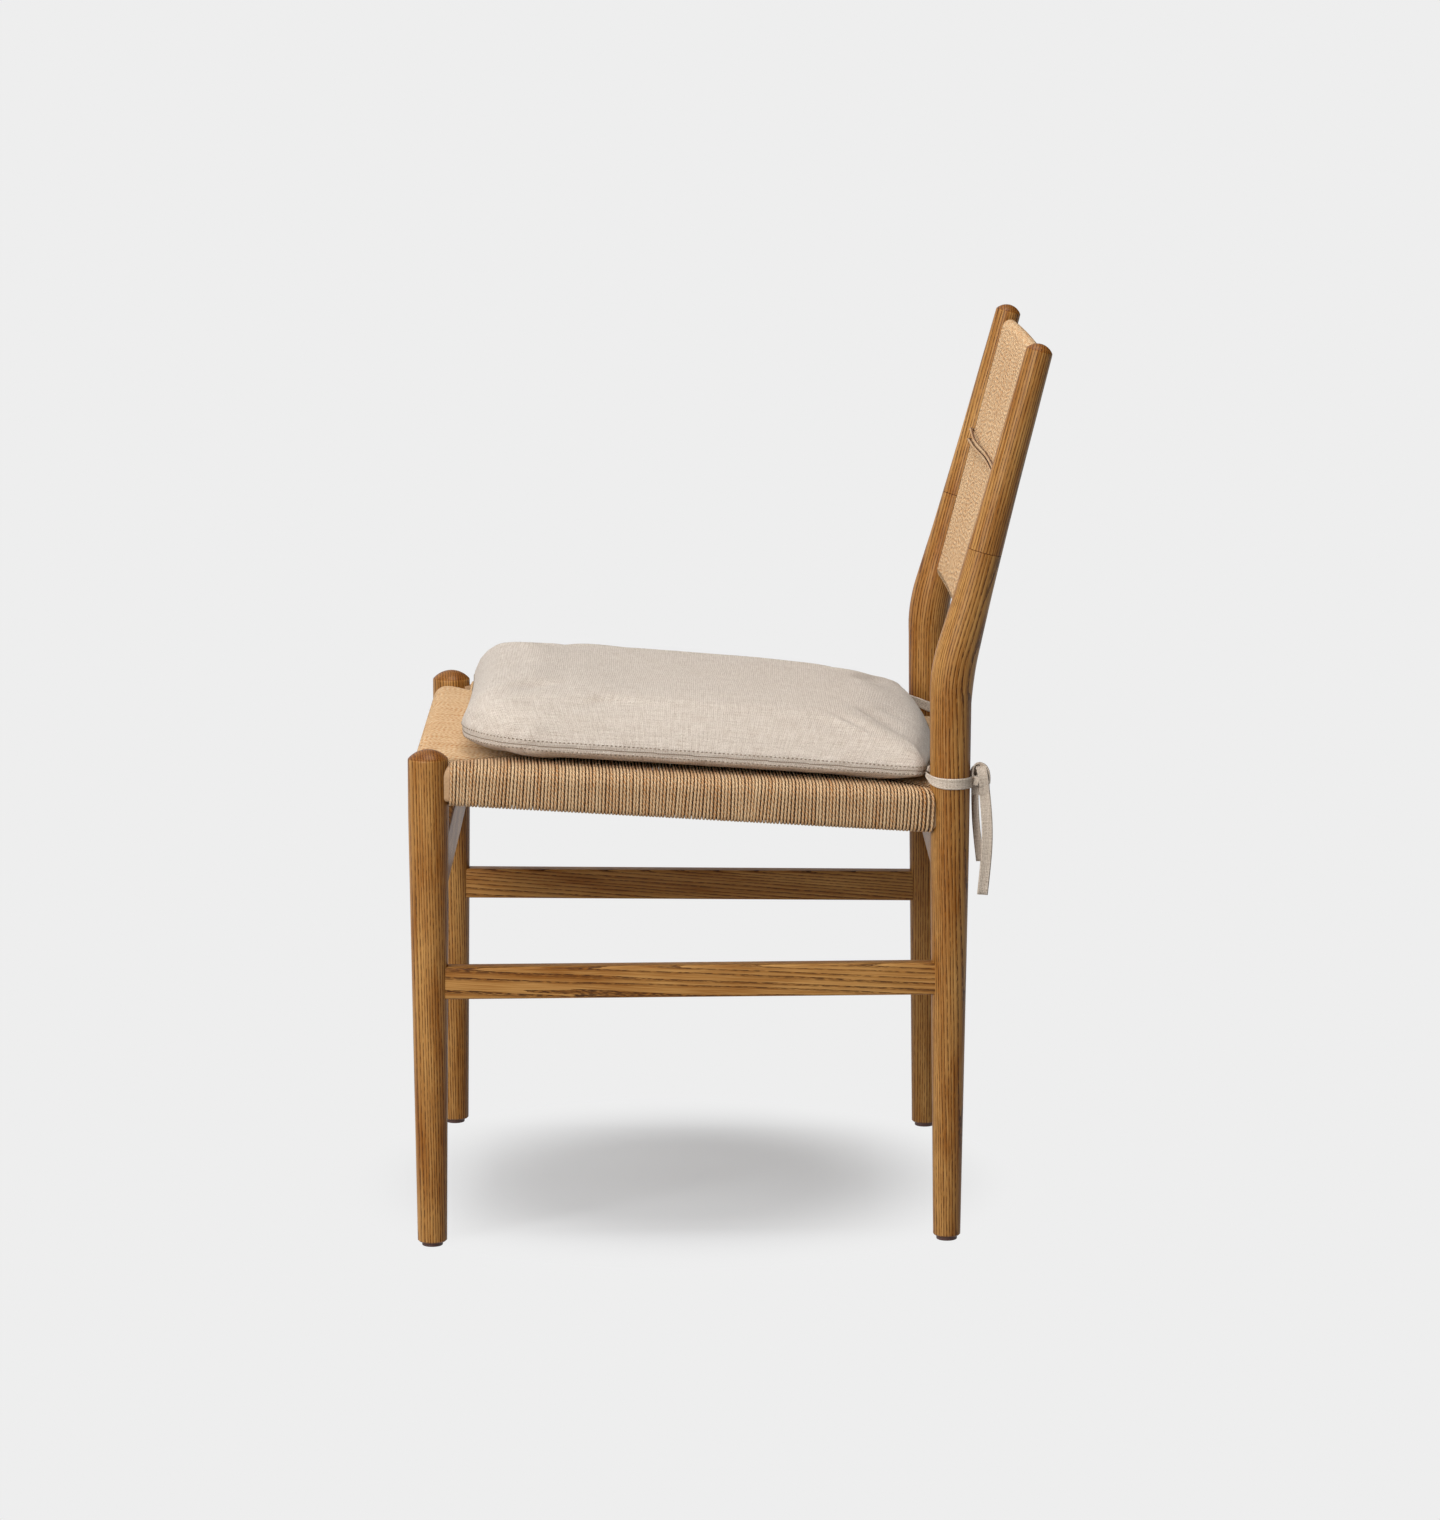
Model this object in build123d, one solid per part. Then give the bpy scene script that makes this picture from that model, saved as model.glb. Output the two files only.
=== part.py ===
from build123d import *
import os
from math import asin, cos, degrees, radians, sin, tan

# A side chair in millimetres. +Z is up, the sitter faces -Y, and +X is the sitter's left.
# The origin is on the floor, in the middle of the overall box.

# Overall frame
HEIGHT = 820.0
FRONT_LEG_X = 236.8
FRONT_LEG_Y = -270.0
POST_X = 218.6
POST_Y = 200.0
SIDES = {"left": 1, "right": -1}

# Turned front legs
LEG_TOP_Z = 458.0
LEG_DOME = 8.5
LEG_RADIUS = 18.2
LEG_TAPER_START_Z = 395.0
LEG_FOOT_RADIUS = 13.4
FOOT_CHAMFER = 1.2

# Rear posts: straight and tapered up to the bend, then leaning back, with a joint above the bend
POST_FOOT_RADIUS = 12.5
POST_STRETCHER_RADIUS = 17.3
POST_STRETCHER_Z = 340.0
POST_BEND_RADIUS = 195.0
POST_BEND_Z = 522.0
POST_LEAN = 14.7
POST_BEND_START_RADIUS = 18.7
POST_BEND_MIDDLE_RADIUS = 19.6
POST_BEND_END_RADIUS = 19.0
POST_NECK_Z = 600.0
POST_NECK_RADIUS = 16.6
POST_JOINT_Z = 634.0
POST_JOINT_RADIUS = 15.6
POST_WAIST_UP = 66.0
POST_WAIST_RADIUS = 14.0
POST_TOP_RADIUS = 12.2
POST_DOME = 6.5
JOINT_DOWEL_RADIUS = 5.0
JOINT_DOWEL_LENGTH = 50.0

# Nail-on glides under the four legs
GLIDE_RADIUS = 9.5
GLIDE_HEIGHT = 4.0
GLIDE_ROUND = 0.8
NAIL_RADIUS = 1.3
NAIL_HEAD_RADIUS = 3.5
NAIL_HEAD_HEIGHT = 1.0
NAIL_LOW_Z = 1.6
NAIL_TOP_Z = 22.0

# Mortise and tenon joints
TENON_DEPTH = 11.0
TENON_ROOT = 4.0
TENON_THICKNESS = 9.0
TENON_SHOULDER = 5.0

# Stretchers: lowest Z, highest Z and thickness; the shift is behind the leg's axis
STRETCHER_ROUND = 2.5
SIDE_STRETCHER = (230.0, 259.5, 18.0)
FRONT_STRETCHER = (321.0, 366.0, 22.0)
FRONT_STRETCHER_SHIFT = 3.0
REAR_STRETCHER = (335.0, 375.0, 20.0)
REAR_STRETCHER_SHIFT = -4.0

# Seat: a plane through the crests of the side rails that falls to the rear
SEAT_TILT = 3.7
SEAT_CREST_Z = 430.6
SEAT_MIDDLE_Y = -35.0
SEAT_DIP = 8.0
SEAT_MIDDLE_THICKNESS = 18.0
CORD = 3.6
RAIL_TALL = 39.3
SIDE_RAIL_HALF = 15.0
FRONT_RAIL_HALF = 17.2
FRONT_RAIL_DROP = 3.0
RAIL_TOP_ROUND = 13.0
RAIL_BOTTOM_ROUND = 8.0
CORD_GAP_AT_LEG = 1.0
CORD_GAP_AT_POST = 2.2
# A field of cord reaches this far past its corners before the legs' clearance is cut out
FIELD_REACH = 1.3

# Back: two bowed rails between the leaning posts, with cord wound over both
BACK_BOTTOM_Z = 556.0
BACK_TOP_Z = 808.0
BACK_FRONT_FACE = 4.2
BACK_THICKNESS = 15.4
BACK_CORD = 3.2
BACK_BOW = 6.0
BACK_BOTTOM_HALF = 197.0
BACK_TOP_HALF = 202.6
BACK_RAIL_TALL = 28.0
BACK_TENON = (14.0, 6.0, 18.0)
BACK_TENON_X = 207.0
BINDING_Z = 692.0
BINDING_RADIUS = 1.5
BINDING_CLEARANCE = 0.4
BINDING_SPACING = 3.6

# Seat pad, in the seat's plane: a crowned linen cover round a foam insert
PAD_FRONT_Y = -245.0
PAD_REAR_Y = 179.0
PAD_FRONT_HALF = 219.0
PAD_REAR_HALF = 212.0
PAD_FRONT_CORNER = 72.0
PAD_REAR_CORNER = 16.0
PAD_DRAWN_IN = 3.0
PAD_REAR_BULGE = 13.0
# Change of a corner's radius with each millimetre that the outline stands in
PAD_FRONT_CORNER_EASE = -0.3
PAD_REAR_CORNER_EASE = 0.5
PAD_COVER = 1.5
# Height above the seat's plane, and how far the outline stands in from the edge seam at that height
PAD_SECTIONS = [
    (0.5, 18.0), (2.5, 9.0), (6.0, 3.5), (10.0, 0.8), (14.5, 0.0), (21.0, 1.0), (28.5, 4.5), (35.5, 10.0),
    (42.0, 20.0), (46.5, 36.0), (50.0, 62.0), (52.2, 105.0),
]
# The top is stuffed thicker at the front: its slope, which grades to nothing at the seat
PAD_TOP_SLOPE = 1.55

# Linen ties at the pad's rear corners: a band round each post, a knot and two tails
TAPE_WIDTH = 10.0
TAPE_THICKNESS = 1.3
TIE_Z = 425.6
TIE_SLOPE = 2.5
BAND_RADIUS = 18.9
BAND_START = (210.2, 177.2)
BAND_START_RADIUS = 0.5
KNOT_SIZE = (15.0, 15.0, 23.0)
KNOT_PLACE = (218.0, 229.0, 429.0)
KNOT_ROUND = 5.0
LONG_TAIL = [
    (220.6, 230.6, 420.0), (222.4, 233.2, 397.0), (221.4, 234.0, 371.0), (219.6, 232.4, 345.0),
    (219.2, 230.0, 321.0),
]
SHORT_TAIL = [(215.4, 224.0, 420.0), (213.2, 224.4, 398.0), (213.0, 226.6, 374.0), (214.6, 229.6, 351.0)]
# Share of a run that its arc at one end may take up
ARC_SHARE = 0.45


# Frames

SEAT_SIN = sin(radians(SEAT_TILT))
SEAT_COS = cos(radians(SEAT_TILT))
LEAN_SIN = sin(radians(POST_LEAN))
LEAN_COS = cos(radians(POST_LEAN))
SEAT = Plane((0, 0, SEAT_CREST_Z), x_dir=(1, 0, 0), z_dir=(0, SEAT_SIN, SEAT_COS))
BEND_TANGENT = POST_BEND_RADIUS * tan(radians(POST_LEAN) / 2)


def lean_plane(z, x=0.0):
    """A plane square to the leaning axis at height z: its Y runs backwards, its Z up the post."""
    y = POST_Y + (z - POST_BEND_Z) * LEAN_SIN / LEAN_COS
    return Plane((x, y, z), x_dir=(1, 0, 0), z_dir=(0, LEAN_SIN, LEAN_COS))


def bend_plane(angle, x):
    """A plane square to the post's axis inside the bend, at an angle in degrees from its start."""
    turn = radians(angle)
    y = POST_Y + POST_BEND_RADIUS * (1 - cos(turn))
    z = POST_BEND_Z - BEND_TANGENT + POST_BEND_RADIUS * sin(turn)
    return Plane((x, y, z), x_dir=(1, 0, 0), z_dir=(0, sin(turn), cos(turn)))


def seat_v(y, w=0.0):
    """Depth along the seat's plane of a point at chair depth y and height w above the plane."""
    return (y - w * SEAT_SIN) / SEAT_COS


# Legs and posts

def turned(side, dome_height):
    """A solid of revolution about Z from points of radius and height, with a domed end."""
    radius, shoulder = side[-1]
    ball = (radius ** 2 + dome_height ** 2) / (2 * dome_height)
    centre = shoulder + dome_height - ball
    half_way = asin(radius / ball) / 2
    crown = (0, shoulder + dome_height)
    dome = ThreePointArc(side[-1], (ball * sin(half_way), centre + ball * cos(half_way)), crown)
    foot = (0, side[0][1])
    outline = Polyline(foot, *side) + dome + Line(crown, foot)
    return revolve(Plane.XZ * make_face(outline), Axis.Z)


def front_leg(x):
    side = [
        (LEG_FOOT_RADIUS - FOOT_CHAMFER, GLIDE_HEIGHT),
        (LEG_FOOT_RADIUS, GLIDE_HEIGHT + FOOT_CHAMFER),
        (LEG_RADIUS, LEG_TAPER_START_Z),
        (LEG_RADIUS, LEG_TOP_Z - LEG_DOME),
    ]
    return Pos(x, FRONT_LEG_Y, 0) * turned(side, LEG_DOME)


def post_lower(x):
    bend_start = POST_BEND_Z - BEND_TANGENT
    outline = Polyline(
        (0, GLIDE_HEIGHT),
        (POST_FOOT_RADIUS - FOOT_CHAMFER, GLIDE_HEIGHT),
        (POST_FOOT_RADIUS, GLIDE_HEIGHT + FOOT_CHAMFER),
        (POST_STRETCHER_RADIUS, POST_STRETCHER_Z),
        (POST_BEND_START_RADIUS, bend_start),
        (0, bend_start),
        close=True,
    )
    straight = Pos(x, POST_Y, 0) * revolve(Plane.XZ * make_face(outline), Axis.Z)
    bend = loft([
        bend_plane(0, x) * Circle(POST_BEND_START_RADIUS),
        bend_plane(POST_LEAN / 2, x) * Circle(POST_BEND_MIDDLE_RADIUS),
        bend_plane(POST_LEAN, x) * Circle(POST_BEND_END_RADIUS),
        lean_plane(POST_NECK_Z, x) * Circle(POST_NECK_RADIUS),
        lean_plane(POST_JOINT_Z, x) * Circle(POST_JOINT_RADIUS),
    ])
    return straight + bend


def post_upper(x):
    shoulder = (HEIGHT - POST_JOINT_Z) / LEAN_COS - POST_DOME
    side = [(POST_JOINT_RADIUS, 0), (POST_WAIST_RADIUS, POST_WAIST_UP), (POST_TOP_RADIUS, shoulder)]
    return lean_plane(POST_JOINT_Z, x) * turned(side, POST_DOME)


def joint_dowel(x):
    return lean_plane(POST_JOINT_Z, x) * Cylinder(JOINT_DOWEL_RADIUS, JOINT_DOWEL_LENGTH)


# Glides

def glide(x, y):
    disc = extrude(Circle(GLIDE_RADIUS), GLIDE_HEIGHT)
    return Pos(x, y, 0) * fillet(disc.edges().sort_by(Axis.Z)[0], GLIDE_ROUND)


def glide_nail(x, y):
    head = extrude(Circle(NAIL_HEAD_RADIUS), NAIL_HEAD_HEIGHT)
    shank = extrude(Circle(NAIL_RADIUS), NAIL_TOP_Z - NAIL_LOW_Z)
    return Pos(x, y, NAIL_LOW_Z) * (head + shank)


# Rails and stretchers

def run_plane(start, end):
    """A plane at start whose Z runs to end and whose X is level."""
    along = (end - start).normalized()
    return Plane(start, x_dir=along.cross(Vector(0, 0, 1)), z_dir=along)


def joined(bar, start, end, legs, tenon_tall):
    """A bar coped to the legs at its ends, with a tenon into each. Start and end are on the legs' axes."""
    for leg in legs:
        bar = bar - leg
    tenon = Box(TENON_THICKNESS, tenon_tall, TENON_DEPTH + TENON_ROOT)
    reach = LEG_RADIUS + (TENON_ROOT - TENON_DEPTH) / 2
    for plane in (run_plane(start, end), run_plane(end, start)):
        bar = bar + plane * (Pos(0, 0, reach) * tenon)
    return bar


def stretcher(start, end, legs, size):
    """A level stretcher between two (x, y) places on the legs' axes."""
    low, high, thickness = size
    middle = (low + high) / 2
    begin, finish = Vector(*start, middle), Vector(*end, middle)
    plane = run_plane(begin, finish)
    section = RectangleRounded(thickness, high - low, STRETCHER_ROUND)
    bar = extrude(plane * section, (finish - begin).length, dir=plane.z_dir)
    return joined(bar, begin, finish, legs, high - low - 2 * TENON_SHOULDER)


# The seat's rails and the cord over them

def cord_section(half, reach, drop):
    """Outline of the cord over one rail and in to the seat's middle: X runs inwards, Y up."""
    low = -RAIL_TALL - drop
    middle_low = -SEAT_DIP - SEAT_MIDDLE_THICKNESS
    face = make_face(Polyline(
        (-half, low), (-half, -drop), (half, -drop), (reach, -SEAT_DIP), (reach, middle_low), (half, low),
        close=True,
    ))
    outer_top = face.vertices().sort_by(Axis.X)[:2].sort_by(Axis.Y)[-1]
    face = fillet(outer_top, RAIL_TOP_ROUND)
    outer_low = face.vertices().sort_by(Axis.Y)[:2].sort_by(Axis.X)[0]
    return fillet(outer_low, RAIL_BOTTOM_ROUND)


def seat_side(start, end, half, legs, clearances, drop=0.0):
    """One seat rail and the cord field over it, between two (x, y) leg axes with the seat on the left."""
    middle_w = -drop - RAIL_TALL / 2
    begin = Vector(start[0], seat_v(start[1], middle_w))
    finish = Vector(end[0], seat_v(end[1], middle_w))
    middle = Vector(0, seat_v(SEAT_MIDDLE_Y))
    along = (finish - begin).normalized()
    inwards = Vector(0, 0, 1).cross(along)
    length = (finish - begin).length
    frame = Plane(begin, x_dir=inwards, z_dir=along)
    outer = cord_section(half, (middle - begin).dot(inwards), drop)
    inner = offset(outer, -CORD)
    wood = inner & (Pos(0, middle_w) * Rectangle(2 * (half - CORD), RAIL_TALL))
    field = extrude(frame * (outer - inner), length, dir=along)
    corners = [middle]
    for x, y in (start, end):
        corners.append(middle + (Vector(x, seat_v(y)) - middle) * FIELD_REACH)
    quarter = extrude(make_face(Polyline(*corners, close=True)), 2 * RAIL_TALL, both=True)
    cord = SEAT * (field & quarter)
    for clearance in clearances:
        cord = cord - clearance
    bar = SEAT * extrude(frame * wood, length, dir=along)
    rise = Vector(0, 0, middle_w)
    ends = [SEAT.from_local_coords(point + rise) for point in (begin, finish)]
    rail = joined(bar, *ends, legs, RAIL_TALL - 2 * CORD - 2 * TENON_SHOULDER)
    return rail, cord


def clearance(radius):
    """What is cut out of the cord round a leg or post."""
    return Cylinder(radius, 4 * RAIL_TALL)


# The back, bowed backwards round an upright axis in front of it

BACK = lean_plane(POST_JOINT_Z)
BOW_RADIUS = (POST_X ** 2 + BACK_BOW ** 2) / (2 * BACK_BOW)
BOW_CENTRE = BACK_THICKNESS / 2 - BACK_FRONT_FACE + BACK_BOW - BOW_RADIUS
BACK_LOW = (BACK_BOTTOM_Z - POST_JOINT_Z) / LEAN_COS
BACK_HIGH = (BACK_TOP_Z - POST_JOINT_Z) / LEAN_COS
BACK_MIDDLE = (BACK_LOW + BACK_HIGH) / 2


def bowed(section, half_width):
    """A section (X backwards from the middle of the thickness, Y up) swept along the bow."""
    spread = degrees(asin(half_width / BOW_RADIUS))
    placed = Plane.XZ * (Pos(BOW_RADIUS, 0) * section)
    arc = revolve(Rot(0, 0, 90 - spread) * placed, Axis.Z, 2 * spread)
    return BACK * (Pos(0, BOW_CENTRE, 0) * arc)


def back_section(cord):
    """The wound back's outline, drawn in by a thickness of cord."""
    slot = SlotOverall(BACK_HIGH - BACK_LOW - 2 * cord, BACK_THICKNESS - 2 * cord, rotation=90)
    return Pos(0, BACK_MIDDLE) * slot


def back_cord_panel():
    """The two layers of cord, in one sleeve whose ends follow the tapered posts."""
    sleeve = bowed(back_section(0) - back_section(BACK_CORD), POST_X)
    ends = Polyline(
        (-BACK_BOTTOM_HALF, BACK_LOW), (BACK_BOTTOM_HALF, BACK_LOW),
        (BACK_TOP_HALF, BACK_HIGH), (-BACK_TOP_HALF, BACK_HIGH),
        close=True,
    )
    window = extrude(Plane.XZ * make_face(ends), 4 * BACK_THICKNESS, both=True)
    return sleeve & (BACK * window)


def back_rail(direction, posts):
    """The top (1) or bottom (-1) rail under the cord, with a tenon into each post."""
    place = BACK_MIDDLE + direction * ((BACK_HIGH - BACK_LOW - BACK_RAIL_TALL) / 2 - BACK_CORD)
    window = Pos(0, place) * Rectangle(BACK_THICKNESS, BACK_RAIL_TALL)
    rail = bowed(back_section(BACK_CORD) & window, POST_X)
    for post in posts:
        rail = rail - post
    for side in SIDES.values():
        middle = BACK_THICKNESS / 2 - BACK_FRONT_FACE
        rail = rail + BACK * (Pos(side * BACK_TENON_X, middle, place) * Box(*BACK_TENON))
    return rail


def back_binding_cord():
    """Two turns of cord round the wound back at mid height."""
    up = (BINDING_Z - POST_JOINT_Z) / LEAN_COS
    part_way = (up - BACK_LOW) / (BACK_HIGH - BACK_LOW)
    half = BACK_BOTTOM_HALF + part_way * (BACK_TOP_HALF - BACK_BOTTOM_HALF)
    spread = asin(half / BOW_RADIUS)
    rims = []
    for radius in (BOW_RADIUS - BACK_THICKNESS / 2, BOW_RADIUS + BACK_THICKNESS / 2):
        rims.append([(radius * sin(a), BOW_CENTRE + radius * cos(a)) for a in (-spread, 0, spread)])
    front, rear = rims
    plan = make_face([
        ThreePointArc(*front), Line(front[2], rear[2]),
        ThreePointArc(*reversed(rear)), Line(rear[0], front[0]),
    ])
    route = offset(plan, BINDING_RADIUS + BINDING_CLEARANCE).wire()
    section = Plane(route @ 0, z_dir=route % 0) * Circle(BINDING_RADIUS)
    turn = sweep(section, path=route)
    return [BACK * (Pos(0, 0, up + step * BINDING_SPACING / 2) * turn) for step in (-1, 1)]


# Seat pad

def corner_arc(before, corner, after, radius):
    """The start, middle and end of a round corner."""
    back, ahead = (before - corner).normalized(), (after - corner).normalized()
    half_angle = radians(back.get_angle(ahead)) / 2
    reach = radius / tan(half_angle)
    middle = corner + (back + ahead).normalized() * (radius / sin(half_angle) - radius)
    return corner + back * reach, middle, corner + ahead * reach


def pad_outline(inset):
    """The pad in plan: four round corners, three sides that draw in and a rear that swells between the posts."""
    front, rear = seat_v(PAD_FRONT_Y) + inset, seat_v(PAD_REAR_Y) - inset
    front_half, rear_half = PAD_FRONT_HALF - inset, PAD_REAR_HALF - inset
    points = [
        Vector(-front_half, front), Vector(front_half, front),
        Vector(rear_half, rear), Vector(-rear_half, rear),
    ]
    front_corner = PAD_FRONT_CORNER + PAD_FRONT_CORNER_EASE * inset
    rear_corner = PAD_REAR_CORNER + PAD_REAR_CORNER_EASE * inset
    radii = [front_corner, front_corner, rear_corner, rear_corner]
    arcs = [corner_arc(points[i - 1], points[i], points[(i + 1) % 4], radii[i]) for i in range(4)]
    middle = Vector(0, (front + rear) / 2)
    drawn_in = [PAD_DRAWN_IN, PAD_DRAWN_IN, -PAD_REAR_BULGE, PAD_DRAWN_IN]
    edges = []
    for arc, following, pull in zip(arcs, arcs[1:] + arcs[:1], drawn_in):
        half_way = (arc[2] + following[0]) / 2
        pulled = half_way + (middle - half_way).normalized() * pull
        edges += [ThreePointArc(*arc), ThreePointArc(arc[2], pulled, following[0])]
    return make_face(edges)


def pad_form(skin):
    """The crowned pad, drawn in by a skin's thickness on every side."""
    lowest, highest = PAD_SECTIONS[0][0], PAD_SECTIONS[-1][0]
    squeeze = 1 - 2 * skin / (highest - lowest)
    levels = [(lowest + skin + (w - lowest) * squeeze, inset + skin) for w, inset in PAD_SECTIONS]
    sections = [
        Pos(0, 0, w) * (Rot(-PAD_TOP_SLOPE * w / highest, 0, 0) * pad_outline(inset)) for w, inset in levels]
    return SEAT * loft(sections, ruled=True)


# Ties

def tie_band(side):
    """A flat tape from the pad's corner round the post and back."""
    def drop_shape(skin):
        post = Pos(side * POST_X, POST_Y) * Circle(BAND_RADIUS + skin)
        sewn_end = Pos(side * BAND_START[0], BAND_START[1]) * Circle(BAND_START_RADIUS + skin)
        return make_hull(post.edges() + sewn_end.edges())
    loop = extrude(drop_shape(TAPE_THICKNESS) - drop_shape(0), TAPE_WIDTH / 2, both=True)
    return Pos(0, POST_Y, TIE_Z) * (Rot(-TIE_SLOPE, 0, 0) * (Pos(0, -POST_Y, 0) * loop))


def tie_knot(side):
    x, y, z = KNOT_PLACE
    block = Box(*KNOT_SIZE)
    return Pos(side * x, y, z) * fillet(block.edges(), KNOT_ROUND)


def tie_tail(side, points):
    """A tape along straight runs joined by the largest tangent arcs that the runs allow."""
    points = [Vector(side * x, y, z) for x, y, z in points]
    radii = []
    for before, at, after in zip(points, points[1:], points[2:]):
        turn = radians((at - before).get_angle(after - at))
        radii.append(ARC_SHARE * min((at - before).length, (after - at).length) / tan(turn / 2))
    route = FilletPolyline(*points, radius=radii)
    start = Plane(route @ 0, x_dir=(0, 1, 0), z_dir=route % 0)
    tape = sweep(start * Rectangle(TAPE_WIDTH, TAPE_THICKNESS), path=route)
    by_length = TAPE_WIDTH * TAPE_THICKNESS * route.length
    print("tail radii", [round(r) for r in radii], "volumes", round(tape.volume), round(by_length))
    return tape


def build():
    """Every piece of the chair by name."""
    parts = {}
    feet = {}
    legs, lowers, uppers = {}, {}, {}
    leg_clear, post_clear = {}, {}
    for name, side in SIDES.items():
        x, post_x = side * FRONT_LEG_X, side * POST_X
        legs[name] = front_leg(x)
        lowers[name], uppers[name] = post_lower(post_x), post_upper(post_x)
        leg_clear[name] = Pos(x, FRONT_LEG_Y, SEAT_CREST_Z) * clearance(LEG_RADIUS + CORD_GAP_AT_LEG)
        post_clear[name] = Pos(post_x, POST_Y, SEAT_CREST_Z) * clearance(LEG_RADIUS + CORD_GAP_AT_POST)
        feet[f"front_{name}"] = (x, FRONT_LEG_Y)
        feet[f"rear_{name}"] = (post_x, POST_Y)

    # Seat rails and cord, going round the seat with its middle on the left hand
    fl, fr, rl, rr = (feet[f] for f in ("front_left", "front_right", "rear_left", "rear_right"))
    left_legs, right_legs = (legs["left"], lowers["left"]), (legs["right"], lowers["right"])
    left_clear = (leg_clear["left"], post_clear["left"])
    right_clear = (leg_clear["right"], post_clear["right"])
    corners = {
        "front": (fr, fl, FRONT_RAIL_HALF, legs.values(), leg_clear.values(), FRONT_RAIL_DROP),
        "left": (fl, rl, SIDE_RAIL_HALF, left_legs, left_clear),
        "rear": (rl, rr, SIDE_RAIL_HALF, lowers.values(), post_clear.values()),
        "right": (rr, fr, SIDE_RAIL_HALF, right_legs, right_clear),
    }
    rails = {}
    for place, arguments in corners.items():
        rails[f"seat_rail_{place}"], parts[f"seat_cord_{place}"] = seat_side(*arguments)

    # Stretchers
    front_y, rear_y = FRONT_LEG_Y + FRONT_STRETCHER_SHIFT, POST_Y + REAR_STRETCHER_SHIFT
    front_ends = [(-FRONT_LEG_X, front_y), (FRONT_LEG_X, front_y)]
    rear_ends = [(-POST_X, rear_y), (POST_X, rear_y)]
    rails["stretcher_front"] = stretcher(*front_ends, legs.values(), FRONT_STRETCHER)
    rails["stretcher_rear"] = stretcher(*rear_ends, lowers.values(), REAR_STRETCHER)
    rails["stretcher_left"] = stretcher(fl, rl, left_legs, SIDE_STRETCHER)
    rails["stretcher_right"] = stretcher(fr, rr, right_legs, SIDE_STRETCHER)

    # Back
    rails["back_rail_top"] = back_rail(1, uppers.values())
    rails["back_rail_bottom"] = back_rail(-1, lowers.values())
    parts["back_cord_panel"] = back_cord_panel()
    parts["back_binding_cord"] = Compound(children=back_binding_cord())

    # Mortises, dowel holes and nail holes
    nails = {foot: glide_nail(*place) for foot, place in feet.items()}
    for name, side in SIDES.items():
        dowel = joint_dowel(side * POST_X)
        leg = legs[name] - nails[f"front_{name}"]
        lower = lowers[name] - nails[f"rear_{name}"] - dowel
        upper = uppers[name] - dowel
        for rail in rails.values():
            leg, lower, upper = leg - rail, lower - rail, upper - rail
        parts[f"front_leg_{name}"] = leg
        parts[f"rear_post_lower_{name}"] = lower
        parts[f"rear_post_upper_{name}"] = upper
        parts[f"post_dowel_{name}"] = dowel
        parts[f"tie_band_{name}"] = tie_band(side)
        parts[f"tie_knot_{name}"] = tie_knot(side)
        parts[f"tie_tail_long_{name}"] = tie_tail(side, LONG_TAIL)
        parts[f"tie_tail_short_{name}"] = tie_tail(side, SHORT_TAIL)
    for foot, place in feet.items():
        parts[f"glide_{foot}"] = glide(*place) - nails[foot]
    parts["glide_nails"] = Compound(children=list(nails.values()))

    # Seat pad
    insert = pad_form(PAD_COVER)
    parts["seat_pad_cover"] = pad_form(0) - insert
    parts["seat_pad_insert"] = insert
    return parts | rails


if __name__ == "__main__":
    os.makedirs("parts", exist_ok=True)
    for node, solid in build().items():
        export_step(solid, f"parts/{node}.step")
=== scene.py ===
import random
from math import acos, asin, atan2, cos, hypot, pi, radians, sin, tan

import bmesh
import bpy
import numpy as np
from bpy.props import FloatProperty, FloatVectorProperty, PointerProperty
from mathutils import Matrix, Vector
from mathutils.bvhtree import BVHTree


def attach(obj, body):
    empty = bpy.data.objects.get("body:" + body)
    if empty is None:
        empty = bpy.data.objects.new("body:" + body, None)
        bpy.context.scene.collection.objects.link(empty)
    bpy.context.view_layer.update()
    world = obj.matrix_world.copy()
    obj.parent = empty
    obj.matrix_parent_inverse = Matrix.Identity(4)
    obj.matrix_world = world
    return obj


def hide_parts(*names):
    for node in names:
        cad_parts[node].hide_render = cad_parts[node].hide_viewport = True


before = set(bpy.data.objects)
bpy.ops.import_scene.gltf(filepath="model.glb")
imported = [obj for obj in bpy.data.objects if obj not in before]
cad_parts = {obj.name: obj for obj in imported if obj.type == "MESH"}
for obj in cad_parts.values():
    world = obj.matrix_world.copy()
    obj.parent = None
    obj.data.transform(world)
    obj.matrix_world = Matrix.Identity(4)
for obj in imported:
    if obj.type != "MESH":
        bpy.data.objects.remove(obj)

bl_info = {
    "name": "Cord-seat side chair",
    "version": (1, 0, 0),
    "blender": (4, 5, 0),
    "location": "View3D > Sidebar > Chair",
    "description": "Dresses a side chair in varnished oak, wound paper cord and a tied linen seat pad",
    "category": "Object",
}

# The chair's own sizes in millimetres, as in the solids. The sitter faces -Y and +X is the sitter's left.
MM = 0.001
SIDES = {"left": 1, "right": -1}
FRONT_LEG = (236.8, -270.0)
POST = (218.6, 200.0)

# Radius and height up a front leg's foot, then heights and radii at both ends of its taper, then its top
LEG_FOOT = [(0.5, 3.95), (12.2, 4.0), (13.4, 5.2), (13.5, 12.0)]
LEG_RADIUS = 18.2
LEG_TAPER = ((5.2, 395.0), (13.4, LEG_RADIUS))
LEG_TAPER_STEPS = (60, 130, 200, 270, 340, 395)
LEG_PLAIN_Z = 420.0
LEG_SHOULDER_Z = 449.5
LEG_DOME = 8.5

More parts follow.
